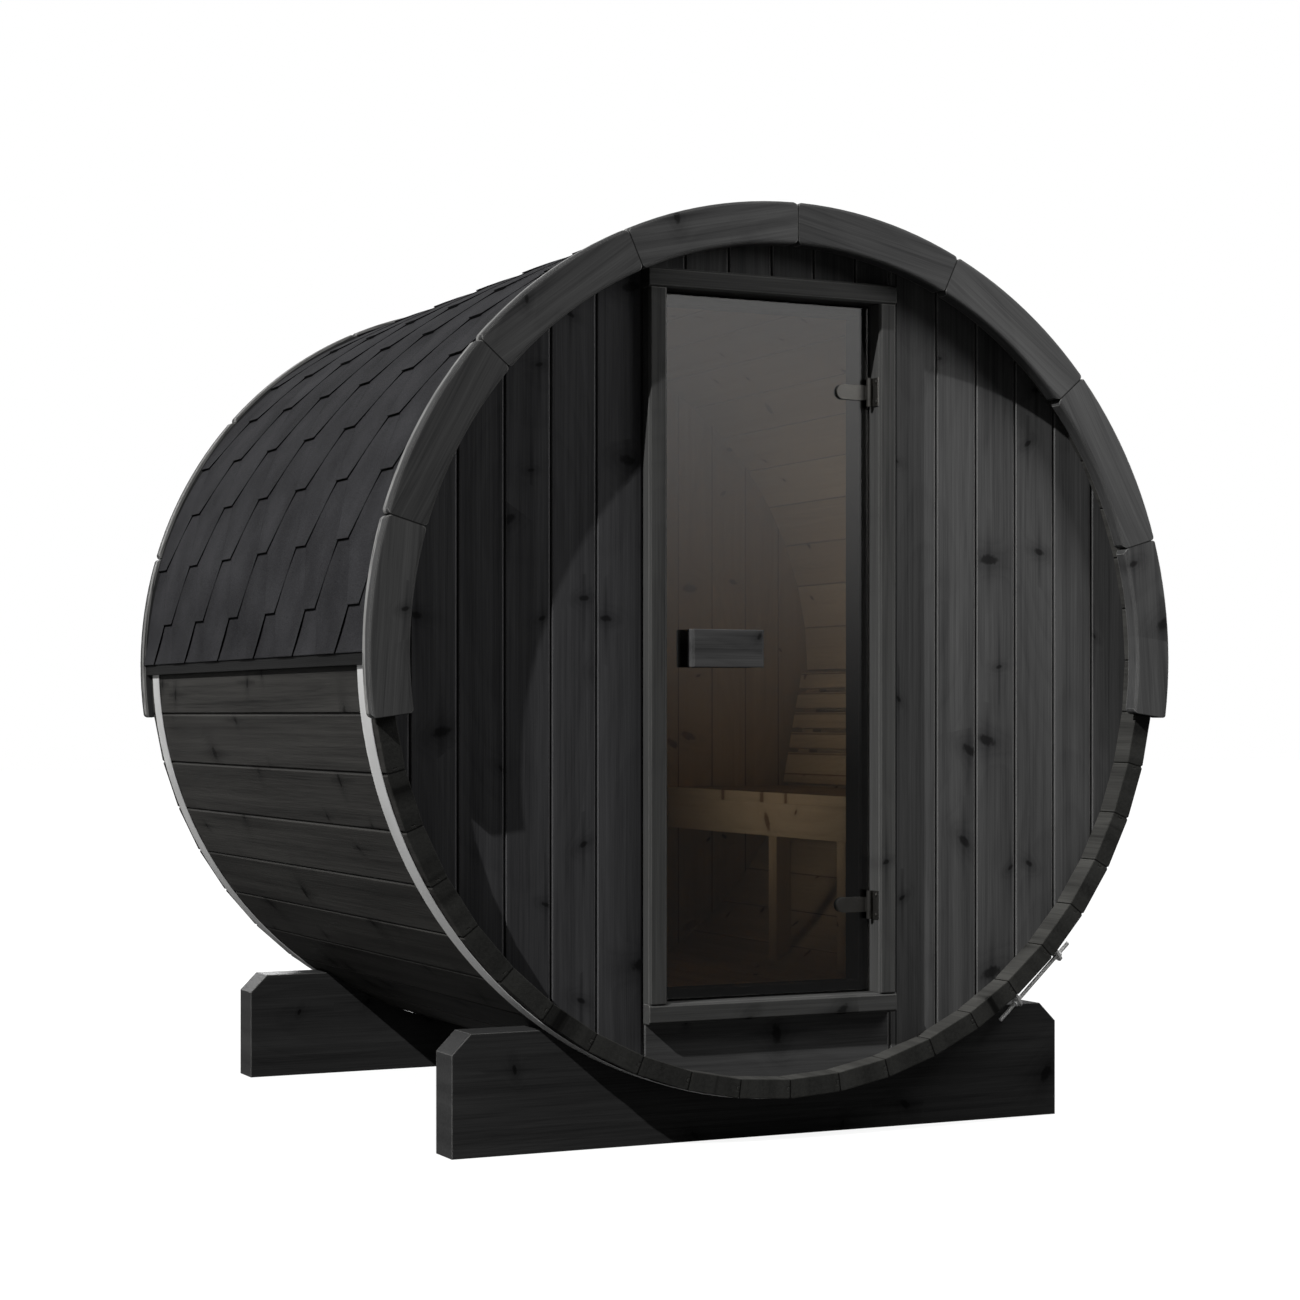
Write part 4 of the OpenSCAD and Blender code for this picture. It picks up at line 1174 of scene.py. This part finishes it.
class SAUNA_OT_interior(SaunaOperator, bpy.types.Operator):
    """Leave the floor, the bench and the backrest bare"""

    bl_idname = "sauna.interior"
    bl_label = "Interior"

    def execute(self, context):
        floor_start = low("floor_boards", "x") - BOARD_MARGIN
        seat_start = low("bench_seat", "x") - BOARD_MARGIN
        front_start = low("bench_front_board", "z") - FRONT_MARGIN
        slat_start = low("backrest_slats", "z") + SLAT_MIDDLE
        boards = (
            ("floor", "yxz", 0.105, floor_start, 601.0, ("floor_boards",)),
            ("seat", "yxz", 0.098, seat_start, 631.0, ("bench_seat",)),
            ("bench_front", "yzx", 0.4, front_start, 641.0, ("bench_front_board",)),
            ("bearer", "xyz", 0.21, 0.0, 653.0, ("floor_bearers", "bench_bearers")),
            ("post", "zyx", 0.3, 0.0, 671.0, ("bench_posts", "backrest_uprights")),
            ("slat", "yzx", 0.059, slat_start, 683.0, ("backrest_slats",)),
        )
        for name, axes, pitch, start, seed, nodes in boards:
            place = lengthwise(*axes, pitch, start, seed)
            dress(timber(f"{name}_timber", place, "bare"), *nodes)
        return {"FINISHED"}


# Studio
SENSOR = 36.0
FLOOR_REACH = 40.0
FLOOR_DROP = 0.0005
FLOOR_GREY = (0.08, 0.08, 0.08)
FLOOR_ROUGH = 0.9
HORIZON = (-0.03, 0.17)


class SAUNA_OT_stage(SaunaOperator, bpy.types.Operator):
    """Set up the camera, the lights, the floor and the white background"""

    bl_idname = "sauna.stage"
    bl_label = "Stage"

    def execute(self, context):
        studio = context.scene.sauna_studio
        self.add_camera(context, studio)
        self.add_lights(studio)
        self.add_floor(studio)
        self.set_world(context, studio)
        context.scene.view_settings.view_transform = "Standard"
        return {"FINISHED"}

    def add_camera(self, context, studio):
        data = bpy.data.cameras.new("camera")
        data.sensor_width = SENSOR
        data.lens = studio.lens
        data.shift_y = studio.shift
        camera = add_object("camera", data)
        camera.location = studio.camera_place
        camera.rotation_euler = (math.pi / 2, 0, studio.camera_heading)
        context.scene.camera = camera

    def add_lights(self, studio):
        key = self.add_lamp("key", "SUN", studio.key, (0, 0, 0), studio.key_aim)
        key.angle = studio.key_spread
        aims = {
            "fill": (0, -STAVE_END, AXIS_Z),
            "back": (0, STAVE_END, AXIS_Z),
            "side": (STAVE_R, 0, AXIS_Z),
        }
        for name, aim in aims.items():
            power, place = getattr(studio, name), getattr(studio, f"{name}_place")
            self.add_lamp(name, "AREA", power, place, aim).size = studio.lamp_size
        room = self.add_lamp("room", "AREA", studio.room, studio.room_place, studio.room_aim)
        room.size = studio.room_size
        room.spread = studio.room_spread

    def add_lamp(self, name, kind, power, place, aim):
        """A lamp that shines from a place at a spot."""
        light = bpy.data.lights.new(name, kind)
        light.energy = power
        lamp = add_object(name, light)
        lamp.location = place
        lamp.rotation_euler = (Vector(aim) - Vector(place)).to_track_quat("-Z", "Y").to_euler()
        return light

    def seen(self, nodes):
        """Marks the rays that show the background as it is, and those that show gloss."""
        path = nodes.node("LightPath", {}).outputs
        shown = nodes.math("MAXIMUM", path["Is Camera Ray"], path["Is Transmission Ray"])
        return shown, path["Is Glossy Ray"]

    def add_floor(self, studio):
        mesh = bpy.data.meshes.new("floor")
        signs = ((-1, -1), (1, -1), (1, 1), (-1, 1))
        corners = [(x * FLOOR_REACH, y * FLOOR_REACH, -FLOOR_DROP) for x, y in signs]
        mesh.from_pydata(corners, [], [(0, 1, 2, 3)])
        floor = add_object("floor", mesh)
        f = Finish("floor_white")
        shown, gloss = self.seen(f)
        glow = f.times(shown, studio.floor_glow)
        f.set(Base_Color=FLOOR_GREY, Roughness=FLOOR_ROUGH)
        f.set(Emission_Color=WHITE, Emission_Strength=glow)
        f.show(gloss, f.node("Emission", {"Strength": studio.low_gloss}))
        mesh.materials.append(f.material)

    def set_world(self, context, studio):
        world = bpy.data.worlds.new("white_studio")
        context.scene.world = world
        nodes = Nodes(world)
        way = nodes.node("TexCoord", {}).outputs["Generated"]
        height = nodes.node("SeparateXYZ", {0: way}).outputs["Z"]
        low_end, high_end = HORIZON
        inputs = {"Value": height, "From Min": low_end, "From Max": high_end}
        inputs["To Min"] = studio.low_gloss
        rise = nodes.node("MapRange", inputs, interpolation_type="SMOOTHSTEP").outputs[0]
        shown, gloss = self.seen(nodes)
        strength = studio.sky
        for share, value in ((shown, 1.0), (gloss, rise)):
            strength = nodes.node("Mix", {0: share, 2: strength, 3: value}).outputs[0]
        background = nodes.tree.nodes["Background"].inputs
        nodes.put(background["Color"], WHITE)
        nodes.put(background["Strength"], strength)


OPERATORS = (
    SAUNA_OT_staves,
    SAUNA_OT_end_walls,
    SAUNA_OT_end_trim,
    SAUNA_OT_cradles,
    SAUNA_OT_door_frame,
    SAUNA_OT_door_leaf,
    SAUNA_OT_hinges,
    SAUNA_OT_hoops,
    SAUNA_OT_roof,
    SAUNA_OT_interior,
    SAUNA_OT_stage,
)


class SAUNA_PT_panel(bpy.types.Panel):
    """Lists the pieces of the sauna"""

    bl_idname = "SAUNA_PT_panel"
    bl_label = "Barrel Sauna"
    bl_space_type = "VIEW_3D"
    bl_region_type = "UI"
    bl_category = "Sauna"

    def draw(self, context):
        for operator in OPERATORS:
            self.layout.operator(operator.bl_idname)
        for name in GROUPS:
            group = getattr(context.scene, name)
            box = self.layout.box()
            for key in group.__annotations__:
                box.prop(group, key)


GROUPS = {"sauna_sizes": SaunaSizes, "sauna_finishes": SaunaFinishes, "sauna_studio": SaunaStudio}


def register():
    for group in GROUPS.values():
        bpy.utils.register_class(group)
    for operator in OPERATORS:
        bpy.utils.register_class(operator)
    bpy.utils.register_class(SAUNA_PT_panel)
    for name, group in GROUPS.items():
        setattr(bpy.types.Scene, name, PointerProperty(type=group))


def unregister():
    for name in GROUPS:
        delattr(bpy.types.Scene, name)
    bpy.utils.unregister_class(SAUNA_PT_panel)
    for operator in reversed(OPERATORS):
        bpy.utils.unregister_class(operator)
    for group in reversed(GROUPS.values()):
        bpy.utils.unregister_class(group)


def main():
    register()
    for operator in OPERATORS:
        getattr(bpy.ops.sauna, operator.bl_idname.split(".")[1])()


if __name__ == "__main__":
    main()
